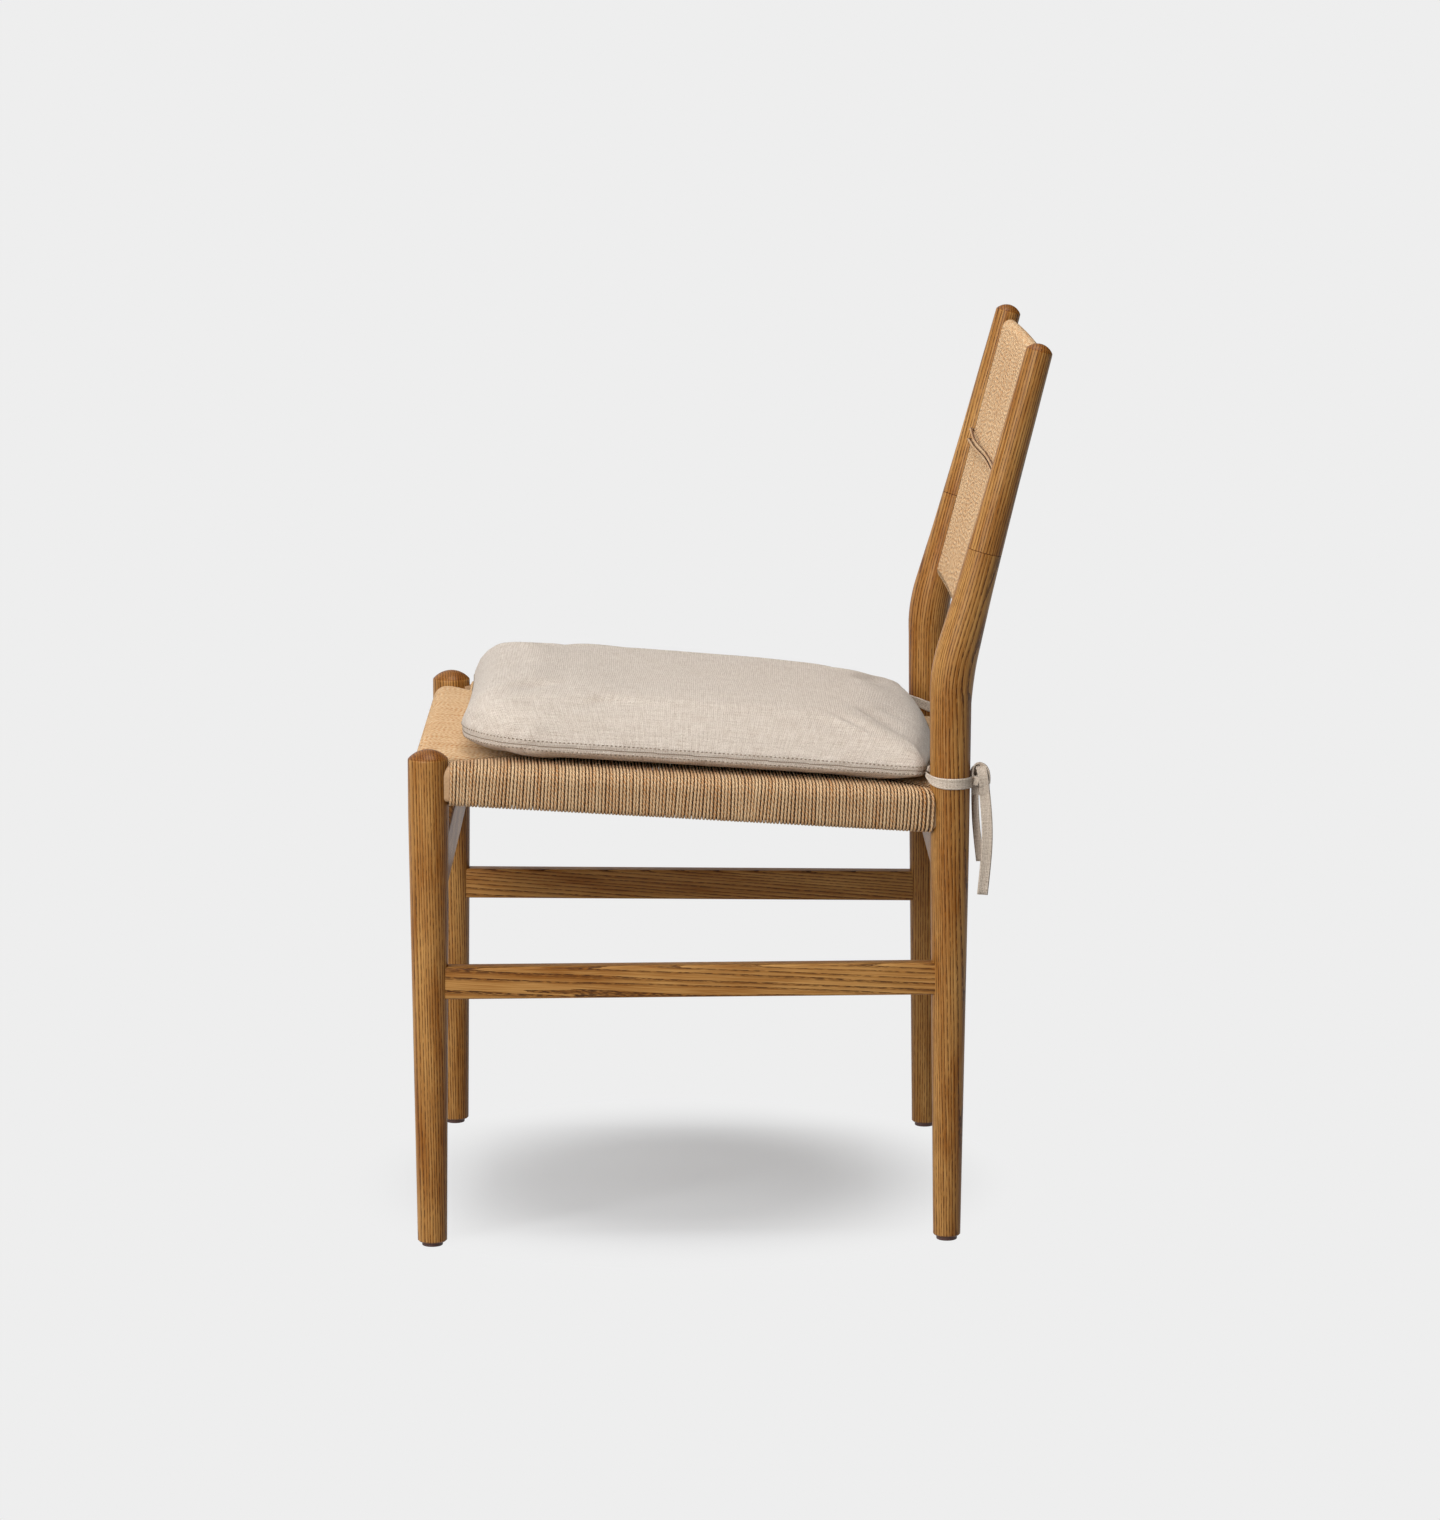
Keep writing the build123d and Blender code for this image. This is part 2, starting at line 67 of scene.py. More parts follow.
POST_LEAN = radians(14.7)
BEND_Z = 522.0
BEND_RADIUS = 195.0
BEND_START_Z = BEND_Z - BEND_RADIUS * tan(POST_LEAN / 2)
JOINT_Z = 634.0
HEIGHT = 820.0
POST_DOME = 6.5
# Height and radius up a post: its tapered foot, then the bend and the lean drawn as one soft swell
POST_TAPER = [(4.0, 11.3), (5.2, 12.5), (340.0, 17.3), (BEND_START_Z, 18.7)]
POST_SWELL = [
    (BEND_START_Z, 18.7), (510, 19.4), (522, 19.6), (536, 19.4), (547, 19.0), (560, 18.4), (575, 17.7),
    (590, 17.0), (600, 16.6), (617, 16.05), (634, 15.6),
]
POST_TAPER_STEPS = (4.0, 4.01, 5.2, 14, 60, 120, 180, 240, 300, 340, 380, 420, 460, BEND_START_Z)
POST_LEAN_STEPS = (560, 575, 590, 600, 612, 624, 633.6, 633.84, 633.88)
# Radius and height up the lean from the joint
POST_UPPER = [
    (0.5, 0.06), (15.4, 0.08), (15.6, 0.32), (15.4, 8), (15.0, 22), (14.5, 44), (14.0, 66), (13.6, 90),
    (13.2, 120), (12.7, 150),
]
POST_TOP_RADIUS = 12.2

STRETCHER_ROUND = 2.5
# Name: both ends on the legs' axes, lowest and highest Z, thickness
STRETCHERS = {
    "stretcher_left": ((236.8, -270.0), (218.6, 200.0), 230.0, 259.5, 18.0),
    "stretcher_right": ((-236.8, -270.0), (-218.6, 200.0), 230.0, 259.5, 18.0),
    "stretcher_front": ((-236.8, -267.0), (236.8, -267.0), 321.0, 366.0, 22.0),
    "stretcher_rear": ((-218.6, 196.0), (218.6, 196.0), 335.0, 375.0, 20.0),
}

SEAT_TILT = radians(3.7)
SEAT_CREST_Z = 430.6
SEAT_MIDDLE_Y = -35.0
SEAT_DIP = 8.0
SEAT_MIDDLE_THICKNESS = 18.0
RAIL_TALL = 39.3
RAIL_TOP_ROUND = 13.0
RAIL_BOTTOM_ROUND = 8.0
# Half the wound rail's width, and how far it lies below the crest
RAIL = (15.0, 0.0)
FRONT_RAIL = (17.2, 3.0)
GAP_AT_LEG = 0.5
GAP_AT_POST = 1.0
# How much further the outer run of the last strand reaches round the post, and over what length it dies away
REACH_ROUND_POST = 4.5
REACH_LENGTH = 15.0
# How far the strands dive where two fields meet, and over what length
VALLEY_DEPTH = 5.0
VALLEY_LENGTH = 9.0
STRAND_SWAY = 0.18
GROUP_LEAN = 1.1
STRAND_SIDES = 8

BACK_LOW = (556.0 - JOINT_Z) / cos(POST_LEAN)
BACK_HIGH = (808.0 - JOINT_Z) / cos(POST_LEAN)
BACK_THICKNESS = 15.4
BACK_BOW = 6.0
BACK_FRONT_FACE = 4.2
BACK_HALF_WIDTHS = (197.0, 202.6)
BOW_RADIUS = (POST[0] ** 2 + BACK_BOW ** 2) / (2 * BACK_BOW)
BOW_CENTRE = BACK_THICKNESS / 2 - BACK_FRONT_FACE + BACK_BOW - BOW_RADIUS
BINDING_UP = (692.0 - JOINT_Z) / cos(POST_LEAN)
BINDING_RADIUS = 1.5
BINDING_HALF_SPACING = 2.2

PAD_FRONT_Y = -245.0
PAD_REAR_Y = 179.0
PAD_HALVES = (219.0, 212.0)
PAD_CORNERS = (72.0, 16.0)
PAD_DRAWN_IN = 3.0
PAD_REAR_BULGE = 13.0
PAD_SEAM_W = 14.5
PAD_TOP_W = 52.0
# Height above the seat's plane, and how far the outline stands in from the edge seam at that height
PAD_SECTIONS = [
    (0.5, 18.0), (2.5, 9.0), (6.0, 3.5), (10.0, 0.8), (14.5, 0.0), (21.0, 1.0), (28.5, 4.5), (35.5, 10.0),
    (42.0, 20.0), (46.5, 36.0), (50.0, 62.0), (52.2, 105.0),
]
PAD_TOP_SLOPE = radians(1.55)
# How much higher the foam stands along the middle of the top, and along its front and rear edges
PAD_CROWN = 2.6
PAD_FULL = (8.0, 3.5)
# Firm canvas that hardly stretches, under a light pressure, and how far a point of it may swell
CANVAS = {
    "quality": 6, "use_pressure": True, "uniform_pressure_force": 4.0, "tension_stiffness": 25,
    "compression_stiffness": 25, "shear_stiffness": 10, "bending_stiffness": 2.0,
}
SWELL_FRAMES = 20
SWELL_LIMIT = 3.5

TAPE_WIDTH = 10.0
BAND_RADIUS = 18.9
BAND_START = (210.2, 177.2)
# Between these shares of its way from the pad's corner to the post the band shows
BAND_SHOWS = (0.24, 0.9)
# Along the band: share of its length, height, and share of its width where the sewn ends are gathered
BAND_COURSE = [
    (0.0, 430.8, 0.45), (0.11, 428.2, 0.8), (0.2, 426.3, 0.95), (0.27, 425.7, 1.0), (0.55, 425.2, 1.0),
    (0.8, 426.4, 1.0), (0.89, 430.6, 0.9), (1.0, 435.5, 0.5),
]
# Route of each tail, how far its tape is turned from the post, and how far it lies to the post's side
TAILS = {
    "long": ([(220.6, 230.6, 420.0), (222.4, 233.2, 397.0), (221.4, 234.0, 371.0), (219.6, 232.4, 345.0),
              (219.2, 230.0, 321.0)], 0.25, 0.0),
    "short": ([(215.4, 224.0, 420.0), (213.2, 224.4, 398.0), (213.0, 226.6, 374.0), (214.6, 229.6, 351.0)],
              1.6, -2.5),
}
# Route, direction across the tape (mirrored with the side) and width of the knot's straps
KNOT = {
    # Over the top and down the near side, where it leaves as the long tail
    "over": ([(213.6, 226.0, 424.0), (212.8, 226.4, 432.0), (215.6, 226.8, 439.4), (221.6, 227.6, 439.0),
              (225.4, 229.0, 433.0), (224.4, 230.2, 426.0), (222.2, 230.8, 420.0), (221.2, 231.2, 413.0)],
             (0.1, 1, 0.15), 9.5),
    # Off the band and arched up over the knot
    "arch": ([(217.5, 218.9, 426.0), (217.8, 219.4, 433.5), (218.5, 221.6, 439.4), (219.5, 226.4, 441.4),
              (220.5, 231.8, 438.6), (221.0, 234.6, 431.0), (220.6, 234.2, 424.0)],
             (0.8, 0.3, 0.5), 7.0),
    # Out below as the short tail
    "tuck": ([(217.0, 221.6, 430.0), (216.0, 222.6, 424.0), (215.4, 223.8, 418.0), (215.0, 224.2, 412.0)],
             (0.3, 1, 0), 9.0),
}


def linear(code):
    """An sRGB hex colour as linear red, green, blue and alpha."""
    channels = [int(code[i:i + 2], 16) / 255 for i in (1, 3, 5)]
    return tuple(c / 12.92 if c <= 0.04045 else ((c + 0.055) / 1.055) ** 2.4 for c in channels) + (1.0,)


# What a user would change

def colour(name, description, code):
    return FloatVectorProperty(
        name=name, description=description, default=linear(code), size=4, min=0, max=1, subtype="COLOR")


def length(name, description, millimetres):
    return FloatProperty(
        name=name, description=description, default=millimetres * MM, min=0, unit="LENGTH", precision=4)


def power(name, description, watts):
    return FloatProperty(name=name, description=description, default=watts, min=0, unit="POWER")


class CHAIR_PG_oak(bpy.types.PropertyGroup):
    early: colour("Early wood", "Light, open wood between the growth rings", "#C08F51")
    late: colour("Late wood", "Denser, darker wood at the end of each ring", "#864E12")
    pore: colour("Pores", "Stain that has settled in the open pores", "#2C1001")
    ring: length("Growth ring", "Spacing of the growth rings", 2.4)


class CHAIR_PG_cord(bpy.types.PropertyGroup):
    pale: colour("Ridge", "Kraft paper on the ridges of the twist", "#DBBB92")
    # The groove colour is partly the paper's own tone and partly painted shade in the grooves between the
    # plies
    deep: colour("Groove", "Kraft paper between the plies", "#AE6E2C")
    # Colour of the painted shade on a strand's flanks, where it lies against the next
    flank_shade: colour("Flank", "Kraft paper where one strand lies against the next", "#481F04")
    seat_pitch: length("Seat pitch", "From one strand to the next on the seat", 3.05)
    back_pitch: length("Back pitch", "From one strand to the next on the back", 3.05)
    lay: length("Lay", "Length in which a ply moves on by one ply", 4.6)


class CHAIR_PG_linen(bpy.types.PropertyGroup):
    thread: colour("Thread", "Bleached flax on the crown of each thread", "#DED4C8")
    gap: colour("Gap", "Shade between the threads", "#B2A192")
    # The ties' colours are paler than the canvas's: painted light on the ties
    tape: colour("Tape thread", "Flax on the crown of each thread of the ties", "#E2D4C4")
    tape_gap: colour("Tape gap", "Shade between the threads of the ties", "#B7A591")
    spacing: length("Thread spacing", "From one thread to the next", 1.9)
    stitch: length("Stitch", "Length of one top stitch and its gap", 3.9)


class CHAIR_PG_stage(bpy.types.PropertyGroup):
    floor: colour("Floor", "Painted studio floor", "#EDEFF1")
    backdrop: colour("Backdrop", "Pale grey behind the chair", "#EEEEEE")
    bounce: colour("Bounce", "Floor as the chair's underside sees it", "#AAAAAA")
    key: power("Key light", "Power of the soft light at the front", 91.0)
    top: power("Top light", "Power of the soft light overhead", 42.0)
    sky: FloatProperty(name="Fill", description="Strength of the light from all round", default=0.5, min=0)


class CHAIR_PG_settings(bpy.types.PropertyGroup):
    oak: PointerProperty(type=CHAIR_PG_oak)
    cord: PointerProperty(type=CHAIR_PG_cord)
    linen: PointerProperty(type=CHAIR_PG_linen)
    stage: PointerProperty(type=CHAIR_PG_stage)


# Places on the chair

def columns(*parts):
    """Numbers and arrays, brought to one shape and set side by side as coordinates."""
    return np.stack(np.broadcast_arrays(*parts), -1)


def seat_v(y, w=0.0):
    """Depth along the seat's plane of a point at chair depth y and height w above the plane."""
    return (y - w * sin(SEAT_TILT)) / cos(SEAT_TILT)


def on_seat(points):
    """Points across, along and above the seat's plane, as places in the chair's frame."""
    x, v, w = np.moveaxis(np.asarray(points, float), -1, 0)
    y = v * cos(SEAT_TILT) + w * sin(SEAT_TILT)
    return columns(x, y, SEAT_CREST_Z - v * sin(SEAT_TILT) + w * cos(SEAT_TILT))


def off_seat(points):
    """Places in the chair's frame, as distances across, along and above the seat's plane."""
    x, y, z = np.moveaxis(np.asarray(points, float), -1, 0)
    z = z - SEAT_CREST_Z
    return x, y * cos(SEAT_TILT) - z * sin(SEAT_TILT), y * sin(SEAT_TILT) + z * cos(SEAT_TILT)


def on_back(points):
    """Points across, behind and up the leaning back, measured from the post joint, in the chair's frame."""
    x, behind, up = np.moveaxis(np.asarray(points, float), -1, 0)
    joint_y = POST[1] + (JOINT_Z - BEND_Z) * tan(POST_LEAN)
    y = joint_y + behind * cos(POST_LEAN) + up * sin(POST_LEAN)
    return columns(x, y, JOINT_Z - behind * sin(POST_LEAN) + up * cos(POST_LEAN))


def on_bow(x, depth, up):
    """A place on the bowed back: depth is from the middle of its thickness, backwards."""
    angle = np.arcsin(np.asarray(x) / BOW_RADIUS)
    radius = BOW_RADIUS + np.asarray(depth)
    return on_back(columns(radius * np.sin(angle), BOW_CENTRE + radius * np.cos(angle), up))


# Meshes swept from sections

def circle(sides, start=0.0):
    turn = start + np.arange(sides) * 2 * pi / sides
    return columns(np.cos(turn), np.sin(turn))


def rounded_rectangle(width, height, radius, steps=5):
    quarter = np.linspace(0, pi / 2, steps)
    corners = []
    for number, (sx, sy) in enumerate([(1, 1), (-1, 1), (-1, -1), (1, -1)]):
        turn = quarter + number * pi / 2
        x, y = sx * (width / 2 - radius), sy * (height / 2 - radius)
        corners.append(columns(x + radius * np.cos(turn), y + radius * np.sin(turn)))
    return np.concatenate(corners)


def unit(vectors):
    return vectors / np.linalg.norm(vectors, axis=-1, keepdims=True)


def run(path):
    """The length along a path up to each of its points."""
    steps = np.linalg.norm(np.diff(path, axis=0), axis=1)
    return np.concatenate([[0], np.cumsum(steps)])


def sweep(path, across, section, scale=1.0, closed=False):
    """Rings of a section along a path, with the section's X turned to across, and the run of each ring."""
    path = np.asarray(path, float)
    if closed:
        tangent = np.roll(path, -1, 0) - np.roll(path, 1, 0)
    else:
        tangent = np.gradient(path, axis=0)
    tangent = unit(tangent)
    across = np.broadcast_to(np.asarray(across, float), path.shape)
    across = unit(across - tangent * (across * tangent).sum(-1, keepdims=True))
    upward = np.cross(tangent, across)
    scaled = np.broadcast_to(np.asarray(scale, float), (len(path),))[:, None, None] * section[None]
    rings = path[:, None] + scaled[..., :1] * across[:, None] + scaled[..., 1:] * upward[:, None]
    return rings, scaled, run(path)


class Skin:
    """Swept rings gathered into one mesh, each point with a coordinate for its material's pattern."""

    def __init__(self, pattern_name):
        self.pattern_name = pattern_name
        self.points = []
        self.pattern = []
        self.faces = []
        self.count = 0

    def add(self, rings, pattern, closed=False):
        """Join the rings to each other; ends that stay open get a cap."""
        number, sides = rings.shape[:2]
        grid = self.count + np.arange(number * sides).reshape(number, sides)
        low, high = (grid, np.roll(grid, -1, 0)) if closed else (grid[:-1], grid[1:])
        quads = np.stack([low, np.roll(low, -1, 1), np.roll(high, -1, 1), high], -1)
        self.faces += quads.reshape(-1, 4).tolist()
        if not closed:
            self.faces += [grid[0][::-1].tolist(), grid[-1].tolist()]
        self.points.append(rings.reshape(-1, 3))
        self.pattern.append(pattern.reshape(-1, 3))
        self.count += number * sides

    def piece(self, name, build, slot, nodes=(), body="frame", crease=None):
        """The mesh as a piece of the chair that stands for CAD nodes."""
        mesh = bpy.data.meshes.new(name)
        mesh.from_pydata((np.concatenate(self.points) * MM).tolist(), [], self.faces)
        pattern = mesh.attributes.new(self.pattern_name, "FLOAT_VECTOR", "POINT")
        pattern.data.foreach_set("vector", np.concatenate(self.pattern).astype(np.float32).ravel())
        solid = bmesh.new()
        solid.from_mesh(mesh)
        bmesh.ops.recalc_face_normals(solid, faces=solid.faces)
        solid.to_mesh(mesh)
        solid.free()
        mesh.shade_smooth()
        if crease:
            mesh.set_sharp_from_angle(angle=radians(crease))
        mesh.materials.append(material(build))
        piece = bpy.data.objects.new(name, mesh)
        bpy.context.scene.collection.objects.link(piece)
        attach(piece, body)
        if nodes:
            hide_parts(*nodes)
        return piece


# Materials

# At scale 1 a wave texture repeats after this much of its coordinate
WAVE_PERIOD = 2 * pi / 20


def feed(tree, node, inputs):
    """Set a node's sockets to values, or link them to the outputs that feed them."""
    for socket, value in inputs.items():
        if isinstance(value, bpy.types.NodeSocket):
            tree.links.new(value, node.inputs[socket])
        else:
            node.inputs[socket].default_value = value


def add(tree, kind, inputs, output=0, **settings):
    """Add one shader node with its inputs and settings, and give one of its outputs."""
    made = tree.nodes.new("ShaderNode" + kind)
    for name, value in settings.items():
        setattr(made, name, value)
    feed(tree, made, inputs)
    return made.outputs[output]


def material(build):
    """A material named after the function that makes it, made the first time that it is asked for."""
    found = bpy.data.materials.get(build.__name__)
    if found is None:
        found = bpy.data.materials.new(build.__name__)
        found.use_nodes = True
        build(found.node_tree, found.node_tree.nodes["Principled BSDF"], bpy.context.scene.chair)
    return found


def stained_oak_satin_varnish(tree, shader, chair):
    """Oak, turned and planed, stained brown and brushed with satin varnish.

    The eye sees growth rings as soft bands along the piece, short dark pore dashes filled with stain, and a
    thin even film that turns pale at a grazing view.
    """
    oak = chair.oak
    grain = add(tree, "Attribute", {}, "Vector", attribute_name="grain")
    drawn_out = add(tree, "Mapping", {"Vector": grain, "Scale": (1, 1, 0.03)})
    rings = add(tree, "TexWave", {
        "Vector": drawn_out, "Scale": WAVE_PERIOD / (oak.ring / MM), "Distortion": 6.0, "Detail": 3.0,
        "Detail Scale": 0.7,
    }, "Fac", wave_type="RINGS", rings_direction="Z", wave_profile="SAW")
    # Fibres 0.8 mm wide and about 40 mm long, and pores 0.8 mm wide and 6 mm long in the early wood of each
    # ring: real pores are 0.3 mm wide, too fine to show at this distance
    fibre_place = add(tree, "Mapping", {"Vector": grain, "Scale": (1.2, 1.2, 0.025)})
    fibres = add(tree, "TexNoise", {"Vector": fibre_place, "Scale": 1.0, "Detail": 4.0}, "Fac")
    pore_place = add(tree, "Mapping", {"Vector": grain, "Scale": (1.2, 1.2, 0.16)})
    dashes = add(tree, "TexNoise", {"Vector": pore_place, "Scale": 1.0}, "Fac")
    dashes = add(tree, "MapRange", {"Value": dashes, "From Min": 0.37, "From Max": 0.54})
    open_wood = add(tree, "MapRange", {"Value": rings, "From Min": 0.5, "From Max": 0.95})
    pores = add(tree, "Math", {0: dashes, 1: open_wood}, operation="MULTIPLY")
    # Slow changes of tone, 16 mm wide and 120 mm long
    broad_place = add(tree, "Mapping", {"Vector": grain, "Scale": (0.06, 0.06, 0.008)})
    broad = add(tree, "TexNoise", {"Vector": broad_place, "Scale": 1.0}, "Fac")
    late = add(tree, "Math", {0: fibres, 1: broad}, operation="ADD")
    late = add(tree, "Math", {0: rings, 1: 0.25, 2: late}, operation="MULTIPLY_ADD")
    late = add(tree, "MapRange", {"Value": late, "From Min": 0.8, "From Max": 1.4})
    wood = add(tree, "Mix", {0: late, 6: oak.early, 7: oak.late}, 2, data_type="RGBA")
    filled = add(tree, "Math", {0: pores, 1: 0.9}, operation="MULTIPLY")
    wood = add(tree, "Mix", {0: filled, 6: wood, 7: oak.pore}, 2, data_type="RGBA")
    rough = add(tree, "MapRange", {"Value": fibres, "To Min": 0.36, "To Max": 0.52})
    relief = add(tree, "Bump", {"Height": pores, "Strength": 0.25, "Distance": 0.2 * MM}, invert=True)
    feed(tree, shader, {
        "Base Color": wood, "Roughness": rough, "Normal": relief, "IOR": 1.5, "Specular IOR Level": 0.15,
        "Coat Weight": 0.06, "Coat Roughness": 0.22,
    })
    return wood


def stained_oak_end_grain(tree, shader, chair):
    """The same oak cut across its fibres, which drink more stain: darker, with the pores as specks."""
    wood = stained_oak_satin_varnish(tree, shader, chair)
    soaked = add(tree, "Mix", {
        0: 1.0, 6: wood, 7: linear("#D8C6AE")}, 2, data_type="RGBA", blend_type="MULTIPLY")
    feed(tree, shader, {"Base Color": soaked})


def beech_planed_bare(tree, shader, chair):
    """Beech, planed and left bare under the cord: pale pink-brown, with fine flecks, dull."""
    spot = add(tree, "TexCoord", {}, "Object")
    # Flecks about 2 mm
    flecks = add(tree, "TexNoise", {"Vector": spot, "Scale": 1 / (2 * MM), "Detail": 3.0}, "Fac")
    wood = add(tree, "Mix", {0: flecks, 6: linear("#C9A47C"), 7: linear("#A67F58")}, 2, data_type="RGBA")
    feed(tree, shader, {"Base Color": wood, "Roughness": 0.65})


def paper_cord_twisted(tree, shader, chair):
    """Kraft paper cord of three twisted plies, wound dry and unvarnished.

    The eye sees matt straw-coloured strands with short slanting marks of the twist, no two quite alike.
    """
    cord = chair.cord
    spot = add(tree, "Attribute", {}, "Vector", attribute_name="cord")
    round_it, along, _ = add(tree, "SeparateXYZ", {0: spot}).node.outputs
    # Three plies to a turn, each moving on by one ply over the lay
    moved_on = add(tree, "Math", {0: along, 1: cord.lay / MM}, operation="DIVIDE")
    plies = add(tree, "Math", {0: round_it, 1: 3.0, 2: moved_on}, operation="MULTIPLY_ADD")
    plies = add(tree, "Math", {0: plies, 1: 2 * pi}, operation="MULTIPLY")
    ridge = add(tree, "Math", {0: plies}, operation="SINE")
    ridge = add(tree, "MapRange", {"Value": ridge, "From Min": -1.0, "From Max": 1.0})
    # Paper creases about 2 mm long, and slow changes of tone along and between strands
    crease_place = add(tree, "Mapping", {"Vector": spot, "Scale": (4.0, 0.45, 37.0)})
    creases = add(tree, "TexNoise", {"Vector": crease_place, "Scale": 1.0, "Detail": 3.0}, "Fac")
    tone_place = add(tree, "Mapping", {"Vector": spot, "Scale": (0.3, 0.012, 61.0)})
    tone = add(tree, "TexNoise", {"Vector": tone_place, "Scale": 1.0, "Detail": 1.0}, "Fac")
    deep = add(tree, "Math", {0: creases, 1: 0.9, 2: tone}, operation="MULTIPLY_ADD")
    # Darker in the grooves between the plies: painted shade, over the paper's own creases and tone
    deep = add(tree, "Math", {0: ridge, 1: -0.45, 2: deep}, operation="MULTIPLY_ADD")
    deep = add(tree, "MapRange", {"Value": deep, "From Min": 0.5, "From Max": 1.3})
    paper = add(tree, "Mix", {0: deep, 6: cord.pale, 7: cord.deep}, 2, data_type="RGBA")
    # A strand's flanks, where it touches the next ones, are painted a dark brown: painted shade between the
    # strands
    flank_shade = add(tree, "Math", {0: round_it, 1: 2 * pi}, operation="MULTIPLY")
    flank_shade = add(tree, "Math", {0: flank_shade}, operation="SINE")
    flank_shade = add(tree, "Math", {0: flank_shade, 1: 4.0}, operation="POWER")
    paper = add(tree, "Mix", {0: flank_shade, 6: paper, 7: cord.flank_shade}, 2, data_type="RGBA")
    height = add(tree, "Math", {0: creases, 1: 0.4, 2: ridge}, operation="MULTIPLY_ADD")
    relief = add(tree, "Bump", {"Height": height, "Strength": 1.0, "Distance": 0.5 * MM})
    feed(tree, shader, {
        "Base Color": paper, "Normal": relief, "Roughness": 0.7, "Specular IOR Level": 0.25,
        "Sheen Weight": 0.03, "Sheen Roughness": 0.4,
    })


def linen_canvas_plain_weave(tree, shader, chair):
    """Undyed linen canvas, plain woven from uneven flax thread.

    The eye sees a matt greige cloth with a fine speckle, thicker slubs along both threads and a soft halo.
    """
    plain_weave(tree, shader, chair.linen.spacing, chair.linen.gap, chair.linen.thread)


def linen_tape_folded(tree, shader, chair):
    """The same linen folded and sewn into tape, with a finer weave, in paler colours: painted light, making
    up for the shade of the post and pad on the ties.
    """
    plain_weave(tree, shader, 0.8 * chair.linen.spacing, chair.linen.tape_gap, chair.linen.tape)


def plain_weave(tree, shader, spacing, gap, crown):
    spot = add(tree, "Attribute", {}, "Vector", attribute_name="weave")
    # Real threads are about 1 mm apart, too fine to show at this distance, so they are drawn coarser
    thread = {
        "Vector": spot, "Scale": WAVE_PERIOD / (spacing / MM), "Distortion": 1.2, "Detail": 2.0,
        "Detail Scale": 0.5,
    }
    wefts, warps = [add(tree, "TexWave", thread, "Fac", bands_direction=way) for way in "XY"]
    crowns = add(tree, "Math", {0: wefts, 1: warps}, operation="MULTIPLY")
    # Slubs about 2 mm wide and 25 mm long along each thread
    slubs = []
    for stretch in ((0.04, 0.5, 1.0), (0.5, 0.04, 1.0)):
        slub_place = add(tree, "Mapping", {"Vector": spot, "Scale": stretch})
        slubs.append(add(tree, "TexNoise", {"Vector": slub_place, "Scale": 1.0, "Detail": 3.0}, "Fac"))
    slub = add(tree, "Math", dict(enumerate(slubs)), operation="ADD")
    light = add(tree, "Math", {0: crowns, 1: 0.55, 2: slub}, operation="MULTIPLY_ADD")
    # Uneven bleach in flecks about 2 mm across
    bleach = add(tree, "TexNoise", {"Vector": spot, "Scale": 0.55}, "Fac")
    light = add(tree, "Math", {0: bleach, 1: 0.9, 2: light}, operation="MULTIPLY_ADD")
    light = add(tree, "MapRange", {"Value": light, "From Min": 1.05, "From Max": 2.0})
    cloth = add(tree, "Mix", {0: light, 6: gap, 7: crown}, 2, data_type="RGBA")
    # Specks of brown flax straw about 1 mm across
    straw = add(tree, "TexNoise", {"Vector": spot, "Scale": 0.75, "Detail": 1.0}, "Fac")
    straw = add(tree, "MapRange", {"Value": straw, "From Min": 0.58, "From Max": 0.72, "To Max": 0.55})
    cloth = add(tree, "Mix", {0: straw, 6: cloth, 7: linear("#7A604A")}, 2, data_type="RGBA")
    height = add(tree, "Math", {0: slub, 1: 0.5, 2: crowns}, operation="MULTIPLY_ADD")
    relief = add(tree, "Bump", {"Height": height, "Strength": 0.65, "Distance": 0.6 * MM})
    feed(tree, shader, {
        "Base Color": cloth, "Normal": relief, "Roughness": 0.88, "Sheen Weight": 0.15,
        "Sheen Roughness": 0.5, "Specular IOR Level": 0.25,
    })


def cotton_thread_painted_shade(tree, shader, chair):
    """Waxed cotton sewing thread, sunk into its holes and marked by its twist, drawn darker than the cloth as
    painted shade of the stitch holes and of the seam.
    """
    spot = add(tree, "Attribute", {}, "Vector", attribute_name="thread")
    # One twist mark to a millimetre
    mark = {"Vector": spot, "Scale": WAVE_PERIOD, "Distortion": 0.5}
    twist = add(tree, "TexWave", mark, "Fac", bands_direction="DIAGONAL")
    # Browns darker than the cloth: painted shade of the stitch holes and the seam
    thread = add(tree, "Mix", {0: twist, 6: linear("#766958"), 7: linear("#9C8D7B")}, 2, data_type="RGBA")
    feed(tree, shader, {"Base Color": thread, "Roughness": 0.8})


def polyethylene_moulded_brown(tree, shader, chair):
    """Brown polyethylene, moulded with a fine spark texture: dull, with a soft wide highlight."""
    spot = add(tree, "TexCoord", {}, "Object")
    # Spark texture about 0.6 mm
    grit = add(tree, "TexNoise", {"Vector": spot, "Scale": 1 / (0.6 * MM)}, "Fac")
    plastic = add(tree, "Mix", {0: grit, 6: linear("#3A2118"), 7: linear("#55332A")}, 2, data_type="RGBA")
    relief = add(tree, "Bump", {"Height": grit, "Strength": 0.2, "Distance": 0.1 * MM})
    feed(tree, shader, {"Base Color": plastic, "Normal": relief, "Roughness": 0.5})


def steel_drawn_bright(tree, shader, chair):
    """Bright drawn steel nail: a plain grey metal with fine draw marks."""
    spot = add(tree, "TexCoord", {}, "Object")
    # Draw marks about 0.3 mm
    marks = add(tree, "TexNoise", {"Vector": spot, "Scale": 1 / (0.3 * MM)}, "Fac")
    rough = add(tree, "MapRange", {"Value": marks, "To Min": 0.3, "To Max": 0.45})
    feed(tree, shader, {"Base Color": linear("#A8A8A6"), "Metallic": 1.0, "Roughness": rough})


